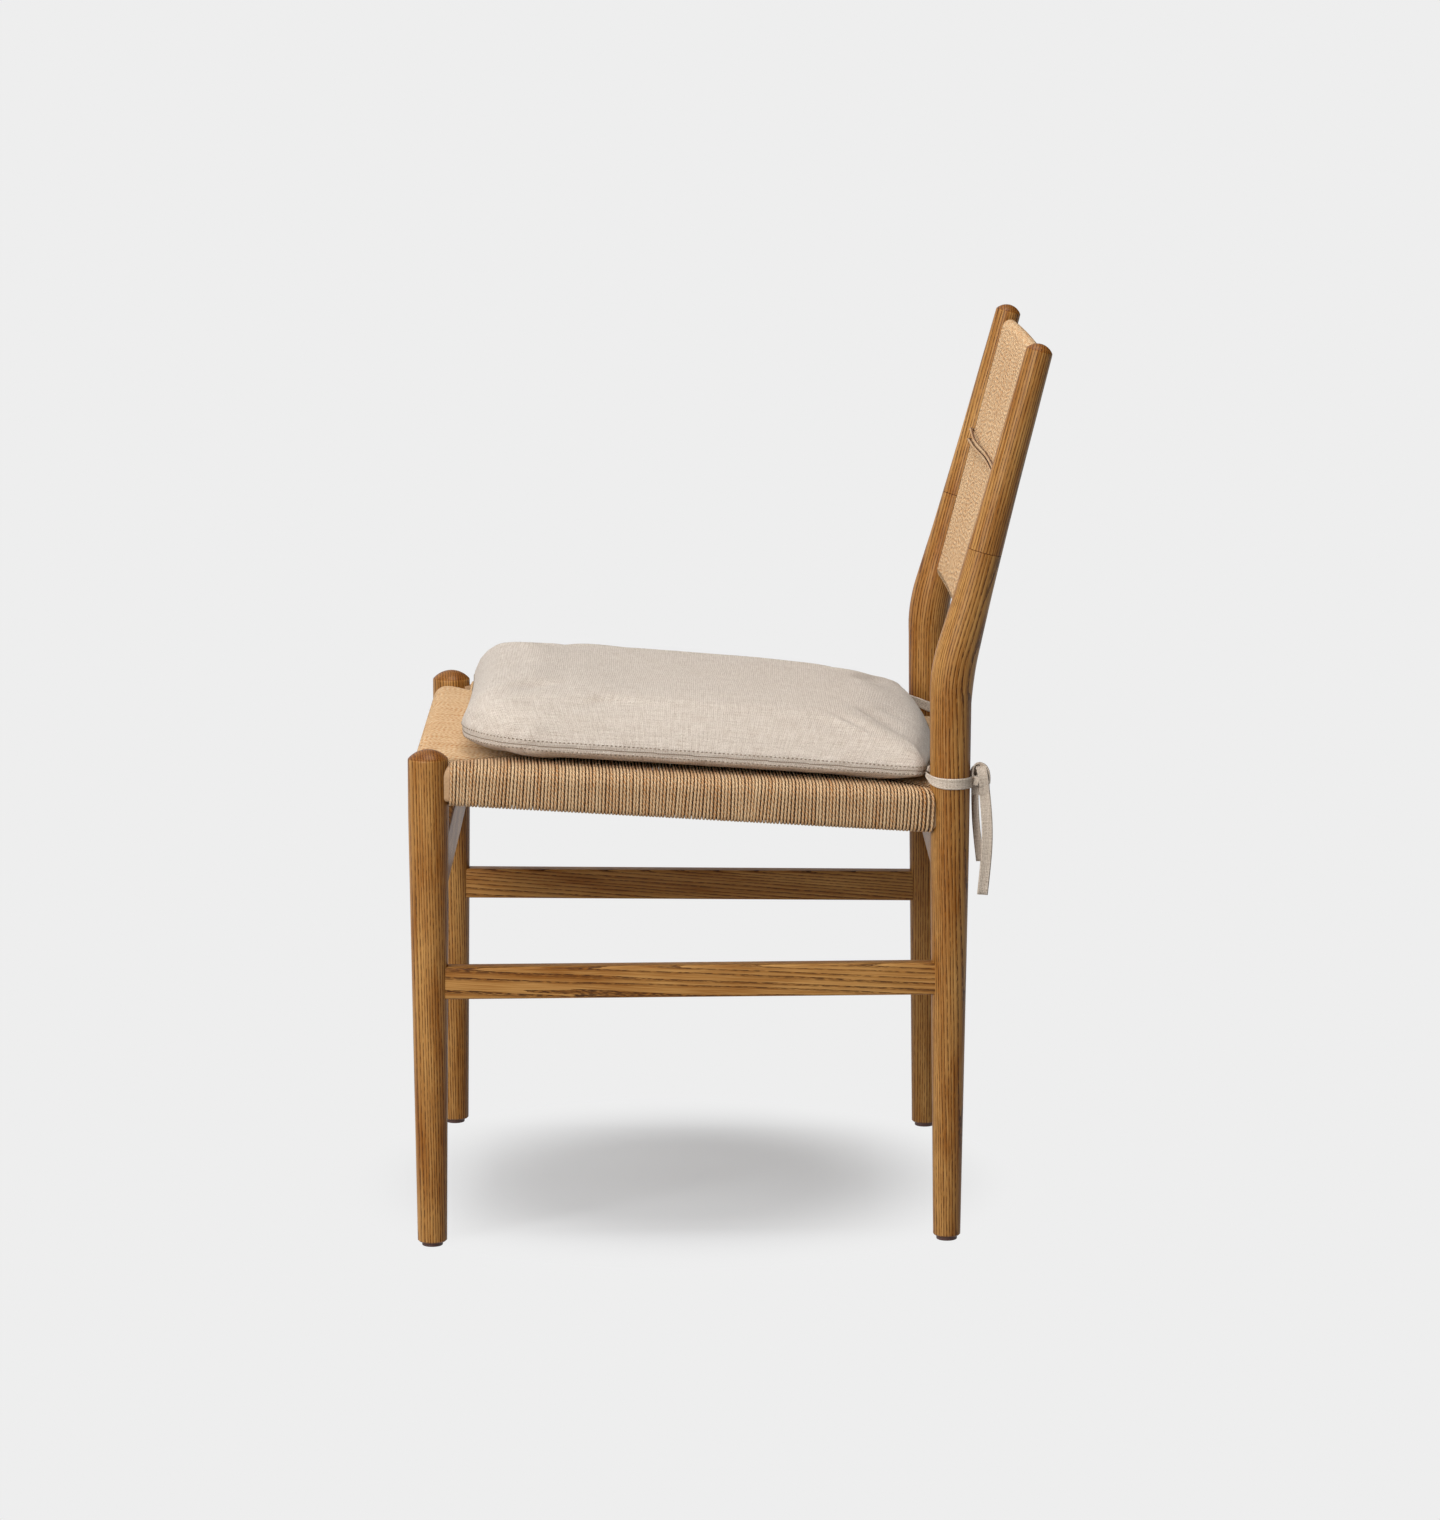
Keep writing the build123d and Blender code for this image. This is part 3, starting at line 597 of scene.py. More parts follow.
def floor_matt_paint(tree, shader, chair):
    """Matt painted studio floor that keeps the chair's shadow and runs out into the backdrop's own tone."""
    spot = add(tree, "TexCoord", {}, "Object")
    # The shadow fades into the backdrop in a round patch under the seat, 0.3 m to its edge
    patch = add(tree, "Mapping", {"Vector": spot, "Location": (0, 0.16, 0), "Scale": (1 / 0.3, 1 / 0.3, 1)})
    away = add(tree, "VectorMath", {0: patch}, "Value", operation="LENGTH")
    fade = add(tree, "MapRange", {
        "Value": away, "From Min": 0.4, "From Max": 1.1, "To Min": 0.28}, interpolation_type="SMOOTHSTEP")
    # Roller marks about 4 mm
    marks = add(tree, "TexNoise", {"Vector": spot, "Scale": 1 / (4 * MM)}, "Fac")
    relief = add(tree, "Bump", {"Height": marks, "Strength": 0.02, "Distance": 0.1 * MM})
    rays = add(tree, "LightPath", {}).node.outputs
    seen = add(tree, "Math", {0: rays["Is Camera Ray"], 1: rays["Is Glossy Ray"]}, operation="MAXIMUM")
    seen = add(tree, "Math", {0: seen, 1: rays["Is Transmission Ray"]}, operation="MAXIMUM")
    paint = add(tree, "Mix", {0: seen, 6: chair.stage.bounce, 7: chair.stage.floor}, 2, data_type="RGBA")
    feed(tree, shader, {
        "Base Color": paint, "Normal": relief, "Roughness": 0.9, "Specular IOR Level": 0.0})
    glow = add(tree, "Emission", {"Color": chair.stage.backdrop, "Strength": 1.0})
    share = add(tree, "Math", {0: seen, 1: fade}, operation="MULTIPLY")
    both = add(tree, "MixShader", {0: share, 1: shader.outputs[0], 2: glow})
    feed(tree, tree.nodes["Material Output"], {"Surface": both})


# Pieces

def oak_piece(name, path, across, section, scale, node, pith, run_out=0.015, crease=35):
    """A piece of oak swept along its length.

    Its grain lies round a pith, given as a place in the log, and runs out of the piece by a slope.
    """
    skin = Skin("grain")
    rings, offsets, lengths = sweep(path, across, section, scale)
    along = np.broadcast_to(lengths[:, None, None], offsets.shape[:2] + (1,))
    grain = np.concatenate([offsets, along], -1) + np.asarray(pith, float)
    grain[..., 0] += run_out * along[..., 0]
    skin.add(rings, grain)
    piece = skin.piece(name, stained_oak_satin_varnish, "stained_oak", [node], crease=crease)
    piece.data.materials.append(material(stained_oak_end_grain))
    end = Vector(unit(path[-1] - path[-2]))
    for face in piece.data.polygons:
        if abs(face.normal.dot(end)) > 0.45:
            face.material_index = 1


def domed(radius, shoulder, height, steps=10, softening=0.9):
    """Points of radius and height up a domed end, with its shoulder softened."""
    ball = (radius ** 2 + height ** 2) / (2 * height)
    widest = asin(radius / ball)
    points = [(radius, shoulder - 2 * softening), (radius - 0.12 * softening, shoulder - 0.6 * softening)]
    for turn in np.linspace(widest - 0.6 * softening / ball, 0.02, steps):
        level = shoulder + height - ball + ball * cos(turn)
        points.append((ball * sin(turn), level - 0.15 * softening * turn / widest))
    return points


class CHAIR_OT_legs(bpy.types.Operator):
    """Turn the two front legs with their domed tops"""
    bl_idname = "chair.legs"
    bl_label = "Front legs"

    def execute(self, context):
        profile = LEG_FOOT + [(np.interp(z, *LEG_TAPER), z) for z in LEG_TAPER_STEPS]
        profile += [(LEG_RADIUS, LEG_PLAIN_Z)] + domed(LEG_RADIUS, LEG_SHOULDER_Z, LEG_DOME)
        radii, heights = np.array(profile).T
        for number, (name, side) in enumerate(SIDES.items()):
            path = columns(side * FRONT_LEG[0], FRONT_LEG[1], heights)
            oak_piece(f"front_leg_{name}_turned", path, (0, 1, 0), circle(56), radii, f"front_leg_{name}",
                      (46 + 9 * number, 18, 311 * number))
        return {"FINISHED"}


class CHAIR_OT_posts(bpy.types.Operator):
    """Shape the two rear posts: a tapered foot, the bend, the joint and the leaning upper piece"""
    bl_idname = "chair.posts"
    bl_label = "Rear posts"

    def execute(self, context):
        straight_z = np.array(POST_TAPER_STEPS)
        straight_r = np.interp(straight_z, *np.array(POST_TAPER).T)
        straight_r[0] = 0.5
        turns = np.linspace(0, POST_LEAN, 9)[1:]
        bend = columns(BEND_RADIUS * (1 - np.cos(turns)), BEND_START_Z + BEND_RADIUS * np.sin(turns))
        lean_z = np.array(POST_LEAN_STEPS)
        lean = columns((lean_z - BEND_Z) * tan(POST_LEAN), lean_z)
        lower = np.concatenate([columns(0, straight_z), bend, lean])
        swell_r = np.interp(np.concatenate([bend, lean])[:, 1], *np.array(POST_SWELL).T)
        radii = np.concatenate([straight_r, swell_r])
        # The end at the joint, with its edge eased
        radii[-2:] = 15.4, 0.5
        shoulder = (HEIGHT - JOINT_Z) / cos(POST_LEAN) - POST_DOME
        upper = POST_UPPER + domed(POST_TOP_RADIUS, shoulder, POST_DOME, softening=0.7)
        upper_r, upper_up = np.array(upper).T
        for number, (name, side) in enumerate(SIDES.items()):
            path = columns(side * POST[0], POST[1] + lower[:, 0], lower[:, 1])
            oak_piece(f"rear_post_lower_{name}_shaped", path, (1, 0, 0), circle(56), radii,
                      f"rear_post_lower_{name}", (14 - 30 * number, 46 - 88 * number, 100 + 523 * number))
            path = on_back(columns(side * POST[0], 0, upper_up))
            oak_piece(f"rear_post_upper_{name}_shaped", path, (1, 0, 0), circle(56), upper_r,
                      f"rear_post_upper_{name}", (-12 + 6 * number, -41 - number, 910 + 368 * number))
        return {"FINISHED"}


class CHAIR_OT_stretchers(bpy.types.Operator):
    """Plane the four stretchers, with eased edges, into the legs"""
    bl_idname = "chair.stretchers"
    bl_label = "Stretchers"

    def execute(self, context):
        for number, (node, (start, end, low, high, thickness)) in enumerate(STRETCHERS.items()):
            middle = (low + high) / 2
            share = np.linspace(0, 1, 9)[:, None]
            path = np.array([*start, middle]) * (1 - share) + np.array([*end, middle]) * share
            section = rounded_rectangle(high - low, thickness, STRETCHER_ROUND)
            oak_piece(f"{node}_planed", path, (0, 0, 1), section, 1.0, node,
                      (14 + 23 * number, 52 - 6 * number, 450 * number), 0.05 + 0.02 * number, crease=50)
        return {"FINISHED"}


def lay_cord(skin, path, across, section, radius, chance, stretch=None, closed=False):
    """Lay one strand. Its twist is drawn out and shifted by chance, so that no two strands look alike."""
    rings, _, lengths = sweep(path, across, section, radius, closed)
    drawn_out = chance.uniform(*stretch) if stretch else 1.0
    round_it = np.arange(len(section)) / len(section)
    pattern = columns(round_it, lengths[:, None] * drawn_out + chance.uniform(0, 50), chance.random())
    skin.add(rings, pattern, closed)


def strand_outline(diagonal, half, reach, drop, radius):
    """A seat strand's middle line, inwards and up: from the diagonal over the rail and back below it."""
    low = -RAIL_TALL - drop
    middle_low = -SEAT_DIP - SEAT_MIDDLE_THICKNESS

    def sag(x):
        """How far a place lies from the rail to the seat's middle, and how deep it dives at the diagonal."""
        dive = VALLEY_DEPTH * np.exp(-(max(0.0, diagonal - x) / VALLEY_LENGTH) ** 2)
        return max(0.0, x - half) / (reach - half), dive

    def bend(corner, height, turns):
        """Round one of the rail's outer corners."""
        arm = corner - radius
        return [(corner - half + arm * cos(turn), height + arm * sin(turn)) for turn in turns]

    inner = diagonal - np.array([-1.2, 0.6, 3.0, 6.0, 9.0, 13.0, 19.0, 30.0, 50.0, 80.0])
    inner = inner[inner > half - 4]
    points = []
    crest = np.linspace(min(half, inner[-1]) - 4, RAIL_TOP_ROUND - half, 4)
    for x in np.concatenate([inner, crest]):
        slope, dive = sag(x)
        tucked = 3.0 if x > diagonal else 0.0
        points.append((x, -drop - radius - (SEAT_DIP - drop) * slope - dive - tucked))
    points += bend(RAIL_TOP_ROUND, -drop - RAIL_TOP_ROUND, np.linspace(pi / 2, pi, 7)[1:])
    points += [(radius - half, low + 24), (radius - half, low + 16)]
    points += bend(RAIL_BOTTOM_ROUND, low + RAIL_BOTTOM_ROUND, np.linspace(pi, 1.5 * pi, 6))
    below = np.linspace(RAIL_BOTTOM_ROUND - half, min(half, inner[-1]), 4)[1:]
    for x in np.concatenate([below, inner[::-1]]):
        slope, dive = sag(x)
        points.append((x, low + radius + (middle_low - low) * slope + dive))
    return np.array(points)


def seat_field(name, corners, half, drop, pitch, chance):
    """One of the seat's four fields: strands side by side over its rail, each ending on a diagonal.

    Each of its two corners is a leg's axis, the gap from the wood, and how far the outer runs reach round it.
    """
    (start, start_gap, start_spread), (end, end_gap, end_spread) = corners
    middle_w = -drop - RAIL_TALL / 2
    begin, finish = (np.array([x, seat_v(y, middle_w)]) for x, y in (start, end))
    middle = np.array([0, seat_v(SEAT_MIDDLE_Y)])
    along = unit(finish - begin)
    inwards = np.array([-along[1], along[0]])
    reach = (middle - begin) @ inwards
    ends = [np.array([x, seat_v(y)]) - begin for x, y in (start, end)]
    turns = [ends[0], middle - begin, ends[1]]
    first = LEG_RADIUS + start_gap + pitch / 2
    last = np.linalg.norm(finish - begin) - LEG_RADIUS - end_gap - pitch / 2
    skin = Skin("cord")
    number = round((last - first) / pitch) + 1
    side_way = on_seat((*along, 0)) - on_seat((0, 0, 0))
    for place in np.linspace(first, last, number):
        diagonal = np.interp(place, [t @ along for t in turns], [t @ inwards for t in turns])
        outline = strand_outline(diagonal, half, reach, drop, pitch / 2)
        waves = np.linspace(0, chance.uniform(4, 9), len(outline))
        sway = place + STRAND_SWAY * np.sin(waves + chance.uniform(0, 6))
        outer = np.clip(-outline[:, 0] / half, 0, 1)
        # On the outer side whole groups of strands lean a little, one way or the other
        lean = GROUP_LEAN * sin(place / 19 + 1.7 * sin(place / 43)) * np.clip((last - place) / 30, 0, 1)
        sway += lean * outer * np.clip(-outline[:, 1] / RAIL_TALL, 0, 1)
        sway += outer * end_spread * np.exp((place - last) / REACH_LENGTH)
        sway -= outer * start_spread * np.exp((first - place) / REACH_LENGTH)
        flat = begin + outline[:, :1] * inwards + sway[:, None] * along
        path = on_seat(np.concatenate([flat, outline[:, 1:]], -1))
        thickness = pitch / 2 * chance.uniform(0.93, 0.97)
        lay_cord(skin, path, side_way, circle(STRAND_SIDES, -pi / 2), thickness, chance, (0.85, 1.15))
    skin.piece(f"seat_wind_{name}", paper_cord_twisted, "paper_cord", [f"seat_cord_{name}"])


class CHAIR_OT_seat_cord(bpy.types.Operator):
    """Wind the seat's four fields of paper cord"""
    bl_idname = "chair.seat_cord"
    bl_label = "Seat cord"

    def execute(self, context):
        chance = random.Random(11)
        pitch = context.scene.chair.cord.seat_pitch / MM
        legs = [((side * FRONT_LEG[0], FRONT_LEG[1]), GAP_AT_LEG, 0.0) for side in (1, -1)]
        posts = [((side * POST[0], POST[1]), GAP_AT_POST, REACH_ROUND_POST) for side in (1, -1)]
        fields = {
            "left": (legs[0], posts[0]), "rear": (posts[0], posts[1]),
            "right": (posts[1], legs[1]), "front": (legs[1], legs[0]),
        }
        for name, corners in fields.items():
            half, drop = FRONT_RAIL if name == "front" else RAIL
            seat_field(name, corners, half, drop, pitch, chance)
        return {"FINISHED"}


def back_half(up):
    """Half the wound back's width at a height up the lean."""
    return np.interp(up, (BACK_LOW, BACK_HIGH), BACK_HALF_WIDTHS)


class CHAIR_OT_back_cord(bpy.types.Operator):
    """Wind the back's two layers of cord and the doubled binding cord round them"""
    bl_idname = "chair.back_cord"
    bl_label = "Back cord"

    def execute(self, context):
        chance = random.Random(23)
        self.wind(context.scene.chair.cord.back_pitch / MM, chance)
        self.bind(chance)
        return {"FINISHED"}

    def wind(self, pitch, chance):
        radius = pitch / 2
        deep = BACK_THICKNESS / 2 - radius
        face = np.linspace(BACK_LOW + BACK_THICKNESS / 2, BACK_HIGH - BACK_THICKNESS / 2, 12)
        over = np.linspace(pi, 0, 9)[1:-1]
        depth = np.concatenate([0 * face - deep, deep * np.cos(over), 0 * face + deep, -deep * np.cos(over)])
        up = np.concatenate([face, face[-1] + deep * np.sin(over), face[::-1], face[0] - deep * np.sin(over)])
        number = round(2 * (BACK_HALF_WIDTHS[1] - radius) / pitch) + 1
        skin = Skin("cord")
        for share in np.linspace(-1, 1, number):
            waves = np.linspace(0, 2 * pi, len(up)) * chance.choice((1, 2, 3))
            sway = 0.2 * np.sin(waves + chance.uniform(0, 6))
            path = on_bow(share * (back_half(up) - radius) + sway, depth, up)
            lay_cord(skin, path, (1, 0, 0), circle(STRAND_SIDES, pi / 2), radius * chance.uniform(0.94, 1.0),
                     chance, (0.7, 1.4), closed=True)
        skin.piece("back_wind", paper_cord_twisted, "paper_cord", ["back_cord_panel"])

    def bind(self, chance):
        skin = Skin("cord")
        off = BACK_THICKNESS / 2 + BINDING_RADIUS + 0.3
        half = back_half(BINDING_UP) + 0.6
        share = np.linspace(-1, 1, 41)
        ends = np.linspace(pi / 2, -pi / 2, 7)[1:-1]
        round_end = half + 1.6 * np.cos(ends)
        x = np.concatenate([share * half, round_end, -share * half, -round_end])
        # The front run is slack towards the far post, where one cord hooks up over the other
        slack = 2.4 * np.exp(-((share + 0.7) / 0.35) ** 2)
        level = np.linspace(1, 0, 41) ** 2
        for strand, hook, proud in ((-1, 1.0, 0.0), (1, 7.0, 1.2)):
            hooked = hook * np.exp(-((share + 1) / 0.28) ** 2)
            front = strand * BINDING_HALF_SPACING + hooked - 2.0 * level
            rear = np.linspace(front[-1], front[0], 41)
            up = BINDING_UP + np.concatenate([front, 0 * ends + front[-1], rear, 0 * ends + front[0]])
            out = off + slack + proud * np.exp(-((share + 0.8) / 0.3) ** 2)
            depth = np.concatenate([-out, -off * np.sin(ends), 0 * share + off, off * np.sin(ends)])
            lay_cord(skin, on_bow(x, depth, up), (0, sin(POST_LEAN), cos(POST_LEAN)), circle(10, -pi / 2),
                     BINDING_RADIUS, chance, closed=True)
        skin.piece("back_binding_pair", paper_cord_twisted, "paper_cord", ["back_binding_cord"])


def tape_section(width, aside):
    """A folded linen tape: thin in the middle, with a rolled hem along each edge."""
    across = np.array([-0.5, -0.46, -0.36, -0.27, 0.0, 0.27, 0.36, 0.46]) * width
    thick = np.array([0.0, 0.75, 0.85, 0.55, 0.5, 0.55, 0.85, 0.75])
    upper = columns(across, thick)
    return np.concatenate([upper, -upper]) + (aside, 0)


def add_tape(skin, path, across, width=TAPE_WIDTH, aside=0.0, gathered=1.0):
    rings, scaled, lengths = sweep(path, across, tape_section(width, aside), gathered)
    skin.add(rings, columns(scaled[..., 0], lengths[:, None], 0.0))


def smooth_route(points, side, name):
    """Points in metres along a smooth spline near a route in millimetres, mirrored for its side."""
    data = bpy.data.curves.new(name, "CURVE")
    data.dimensions = "3D"
    data.resolution_u = 10
    spline = data.splines.new("NURBS")
    spline.points.add(len(points) - 1)
    for point, (x, y, z) in zip(spline.points, points):
        point.co = (side * x * MM, y * MM, z * MM, 1.0)
    spline.order_u = 3
    spline.use_endpoint_u = True
    route = bpy.data.objects.new(name, data)
    mesh = bpy.data.meshes.new_from_object(route)
    found = np.array([v.co for v in mesh.vertices])
    bpy.data.meshes.remove(mesh)
    bpy.data.objects.remove(route)
    bpy.data.curves.remove(data)
    return found


class CHAIR_OT_ties(bpy.types.Operator):
    """Tie the pad's linen tapes round the rear posts: a band, a knot and two hanging tails on each side"""
    bl_idname = "chair.ties"
    bl_label = "Pad ties"

    def execute(self, context):
        for name, side in SIDES.items():
            self.band(name, side)
            self.knot(name, side)
            for tail, (points, turned, aside) in TAILS.items():
                self.tail(f"tie_tail_{tail}_{name}", side, points, turned, aside)
        return {"FINISHED"}

    def band(self, name, side):
        away_x, away_y = BAND_START[0] - POST[0], BAND_START[1] - POST[1]
        radius = BAND_RADIUS + 0.7
        facing = atan2(away_y, away_x)
        opening = acos(radius / hypot(away_x, away_y))
        turns = np.linspace(facing + opening, facing + 2 * pi - opening, 40)
        ring = columns(POST[0] + radius * np.cos(turns), POST[1] + radius * np.sin(turns))
        start = np.array(BAND_START)
        shown = np.linspace(*BAND_SHOWS, 9)[:, None]
        out = start + (ring[0] - start) * shown
        back = start + (ring[-1] - start) * shown[::-1]
        plan = np.concatenate([out, ring, back])
        # From the pad's corner the tape drops to the post's outer side, and comes back higher inside
        lengths = run(plan)
        stages, levels, widths = np.array(BAND_COURSE).T
        level, gathered = (np.interp(lengths / lengths[-1], stages, course) for course in (levels, widths))
        skin = Skin("weave")
        add_tape(skin, columns(side * plan[:, 0], plan[:, 1], level), (0, 0, 1), gathered=gathered)
        skin.piece(f"tie_band_{name}_tape", linen_tape_folded, "linen", [f"tie_band_{name}"])

    def knot(self, name, side):
        skin = Skin("weave")
        for strap, (points, (x, y, z), width) in KNOT.items():
            route = smooth_route(points, side, f"{strap}_route")
            add_tape(skin, route / MM, (x * side, y, z), width)
        # The turn that grips them, lying a little askew
        turns = np.linspace(0, 1.93 * pi, 30)
        grip_x, grip_y = 218.0 + 5.8 * np.cos(turns), 226.8 + 6.4 * np.sin(turns)
        add_tape(skin, columns(side * grip_x, grip_y, 425.4 - 1.4 * np.sin(turns)), (0, 0.25, 1), 8.5)
        skin.piece(f"tie_knot_{name}_tape", linen_tape_folded, "linen", [f"tie_knot_{name}"])

    def tail(self, node, side, points, turned, aside):
        route = smooth_route(points, side, f"{node}_route")
        share = np.linspace(0, 1, len(route))
        across = columns((turned - 0.4 * share) * side, 1.0, 0.1 * share)
        skin = Skin("weave")
        add_tape(skin, route / MM, across, aside=aside)
        piece = skin.piece(f"{node}_tape", linen_tape_folded, "linen", [node])


def arc_points(start, middle, end, number):
    """Points along the arc through three points in the plane."""
    (ax, ay), (bx, by), (cx, cy) = start, middle, end
    a, b, c = ax ** 2 + ay ** 2, bx ** 2 + by ** 2, cx ** 2 + cy ** 2
    d = 2 * (ax * (by - cy) + bx * (cy - ay) + cx * (ay - by))
    ox = (a * (by - cy) + b * (cy - ay) + c * (ay - by)) / d
    oy = (a * (cx - bx) + b * (ax - cx) + c * (bx - ax)) / d
    radius = hypot(ax - ox, ay - oy)
    first = atan2(ay - oy, ax - ox)
    to_middle = (atan2(by - oy, bx - ox) - first + pi) % (2 * pi) - pi
    to_end = (atan2(cy - oy, cx - ox) - first + pi) % (2 * pi) - pi
    if to_middle * to_end < 0:
        to_end -= 2 * pi * np.sign(to_end)
    turns = first + np.linspace(0, to_end, number, endpoint=False)
    return columns(ox + radius * np.cos(turns), oy + radius * np.sin(turns))


def pad_outline(inset, corner_steps=20, side_steps=60):
    """The pad in plan: four round corners, three sides that draw in and a rear that swells."""
    front, rear = seat_v(PAD_FRONT_Y) + inset, seat_v(PAD_REAR_Y) - inset
    front_half, rear_half = PAD_HALVES[0] - inset, PAD_HALVES[1] - inset
    points = np.array([(-front_half, front), (front_half, front), (rear_half, rear), (-rear_half, rear)])
    radii = [PAD_CORNERS[0] - 0.3 * inset] * 2 + [PAD_CORNERS[1] + 0.5 * inset] * 2
    arcs = []
    for i in range(4):
        back, ahead = unit(points[i - 1] - points[i]), unit(points[(i + 1) % 4] - points[i])
        half_angle = acos(back @ ahead) / 2
        bisector = unit(back + ahead)
        arcs.append((points[i] + back * radii[i] / tan(half_angle),
                     points[i] + bisector * (radii[i] / sin(half_angle) - radii[i]),
                     points[i] + ahead * radii[i] / tan(half_angle)))
    centre = np.array([0, (front + rear) / 2])
    drawn_in = [PAD_DRAWN_IN, PAD_DRAWN_IN, -PAD_REAR_BULGE, PAD_DRAWN_IN]
    outline = []
    for arc, following, pull in zip(arcs, arcs[1:] + arcs[:1], drawn_in):
        half_way = (arc[2] + following[0]) / 2
        pulled = half_way + unit(centre - half_way) * pull
        outline += [arc_points(*arc, corner_steps), arc_points(arc[2], pulled, following[0], side_steps)]
    return np.concatenate(outline)


def pad_level(v, w):
    """Height over the seat at a place along the pad, for a section's height: the top leans to the rear."""
    return w - v * np.sin(PAD_TOP_SLOPE * w / PAD_SECTIONS[-1][0])


def eased(value):
    """A smooth step from 0 to 1."""
    value = np.clip(value, 0, 1)
    return value ** 2 * (3 - 2 * value)


def places(piece):
    """A piece's points in millimetres."""
    return np.array([v.co for v in piece.data.vertices]) / MM


class CHAIR_OT_seat_pad(bpy.types.Operator):
    """Fill the linen pad with a cloth simulation, then sew its edge seam and two rows of stitches"""
    bl_idname = "chair.seat_pad"
    bl_label = "Seat pad"

    def execute(self, context):
        pad = self.cover()
        self.fill(context, pad)
        self.finish_cover(pad)
        self.sew(context, pad)
        return {"FINISHED"}

    def cover(self):
        """The cover before it is filled, remeshed evenly."""
        rings = []
        for w, inset in PAD_SECTIONS:
            x, v = pad_outline(inset - 0.8).T
            rings.append(on_seat(columns(x, v, pad_level(v, w))))
        skin = Skin("weave")
        skin.add(np.array(rings), np.zeros((len(rings), len(rings[0]), 3)))
        pad = skin.piece("seat_pad_linen", linen_canvas_plain_weave, "linen",
                         ["seat_pad_cover", "seat_pad_insert"], body="seat_pad")
        even = pad.modifiers.new("even", "REMESH")
        even.mode = "VOXEL"
        even.voxel_size = 5 * MM
        self.apply(pad)
        return pad

    def apply(self, pad):
        shown = pad.evaluated_get(bpy.context.evaluated_depsgraph_get())
        mesh = bpy.data.meshes.new_from_object(shown)
        pad.modifiers.clear()
        old, pad.data = pad.data, mesh
        bpy.data.meshes.remove(old)

    def fill(self, context, pad):
        """Swell the cover by pressure, and hold each point near its start and off the seat."""
        start = places(pad)
        _, _, height = off_seat(start)
        seam = pad.vertex_groups.new(name="seam")
        near_seam = abs(height - pad_level(start[:, 1], PAD_SEAM_W)) < 4
        seam.add(np.flatnonzero(near_seam).tolist(), 1.0, "REPLACE")
        cloth = pad.modifiers.new("fill", "CLOTH")
        for name, value in CANVAS.items():
            setattr(cloth.settings, name, value)
        cloth.settings.effector_weights.gravity = 0
        cloth.settings.vertex_group_mass = seam.name
        for step in range(SWELL_FRAMES):
            context.scene.frame_set(step + 1)
        self.apply(pad)
        context.scene.frame_set(1)
        moved = places(pad) - start
        far = np.linalg.norm(moved, axis=1, keepdims=True)
        moved *= SWELL_LIMIT * np.tanh(far / SWELL_LIMIT) / np.maximum(far, 1e-6)
        x, v, w = off_seat(start + moved)
        pad.data.vertices.foreach_set("co", (on_seat(columns(x, v, np.maximum(w, 0.4))) * MM).ravel())
        smoother = pad.modifiers.new("smoother", "SUBSURF")
        smoother.levels = 1
        self.apply(pad)

    def finish_cover(self, pad):
        """Draw the seam in, ease a few wrinkles into the top, and lay the weave out flat over the form."""
        x, v, w = off_seat(places(pad))
        centre_v = seat_v((PAD_FRONT_Y + PAD_REAR_Y) / 2)
        away = np.hypot(x, v - centre_v)
        out_x, out_v = x / np.maximum(away, 1), (v - centre_v) / np.maximum(away, 1)
        above = w - pad_level(v, PAD_SEAM_W)
        groove = 1.3 * np.exp(-(above / 1.6) ** 2)
        # The ties pull the rear corners out into ears
        corner_x, corner_v = PAD_HALVES[1] - 0.3 * PAD_CORNERS[1], seat_v(PAD_REAR_Y) - 0.3 * PAD_CORNERS[1]
        from_corner = np.sqrt((abs(x) - corner_x) ** 2 + (v - corner_v) ** 2 + above ** 2)
        groove -= 1.0 * np.exp(-(from_corner / 7) ** 2)
        x, v = x - out_x * groove, v - out_v * groove
        ripple = np.sin(x / 31 + 1.3 * np.sin(v / 47)) * np.sin(v / 26 + 1.7 * np.sin(x / 55))
        # Foam fills the front and the rear edge of the top out, and crowns its middle
        full = PAD_FULL[0] * eased((-v - 150) / 75) + PAD_FULL[1] * eased((v - 135) / 45)
        crown = 0.5 * ripple + PAD_CROWN * np.exp(-(v / 80) ** 2)
        w = w + full * np.clip((w - PAD_SEAM_W) / 14, 0, 1) + crown * np.clip((w - 30) / 12, 0, 1)
        pad.data.vertices.foreach_set("co", (on_seat(columns(x, v, w)) * MM).ravel())
        spread = (away + np.abs(w - PAD_TOP_W)) / np.maximum(away, 1)
        weave = columns(x * spread, (v - centre_v) * spread, np.where(above < 0, 400.0, 0.0))
        known = pad.data.attributes
        pattern = known.get("weave") or known.new("weave", "FLOAT_VECTOR", "POINT")
        pattern.data.foreach_set("vector", weave.astype(np.float32).ravel())
        pad.data.materials.clear()
        pad.data.materials.append(material(linen_canvas_plain_weave))
        pad.data.shade_smooth()
        pad.data.update()

    def sew(self, context, pad):
        """Two rows of top stitches, one each side of the seam, and a dark thread along the seam itself, as
        painted shade of its crease.
        """
        surface = BVHTree.FromObject(pad, context.evaluated_depsgraph_get())
        stitch = context.scene.chair.linen.stitch / MM
        plan = pad_outline(0.0)
        plan = np.concatenate([plan, plan[:1]])
        lengths = run(plan)
        thread = Skin("thread")

        def lay(w, reach, sunk, radius, closed):
            x, v = (np.interp(reach, lengths, plan[:, i]) for i in range(2))
            laid = []
            for point, depth in zip(on_seat(columns(x, v, pad_level(v, w))), sunk):
                near, normal, _, _ = surface.find_nearest(Vector(point) * MM)
                laid.append(np.array(near) / MM - np.array(normal) * depth)
            rings, _, along = sweep(laid, (0, 0, 1), circle(6), radius, closed)
            thread.add(rings, columns(np.arange(6) / 6, along[:, None] + reach[0], 0.0), closed)

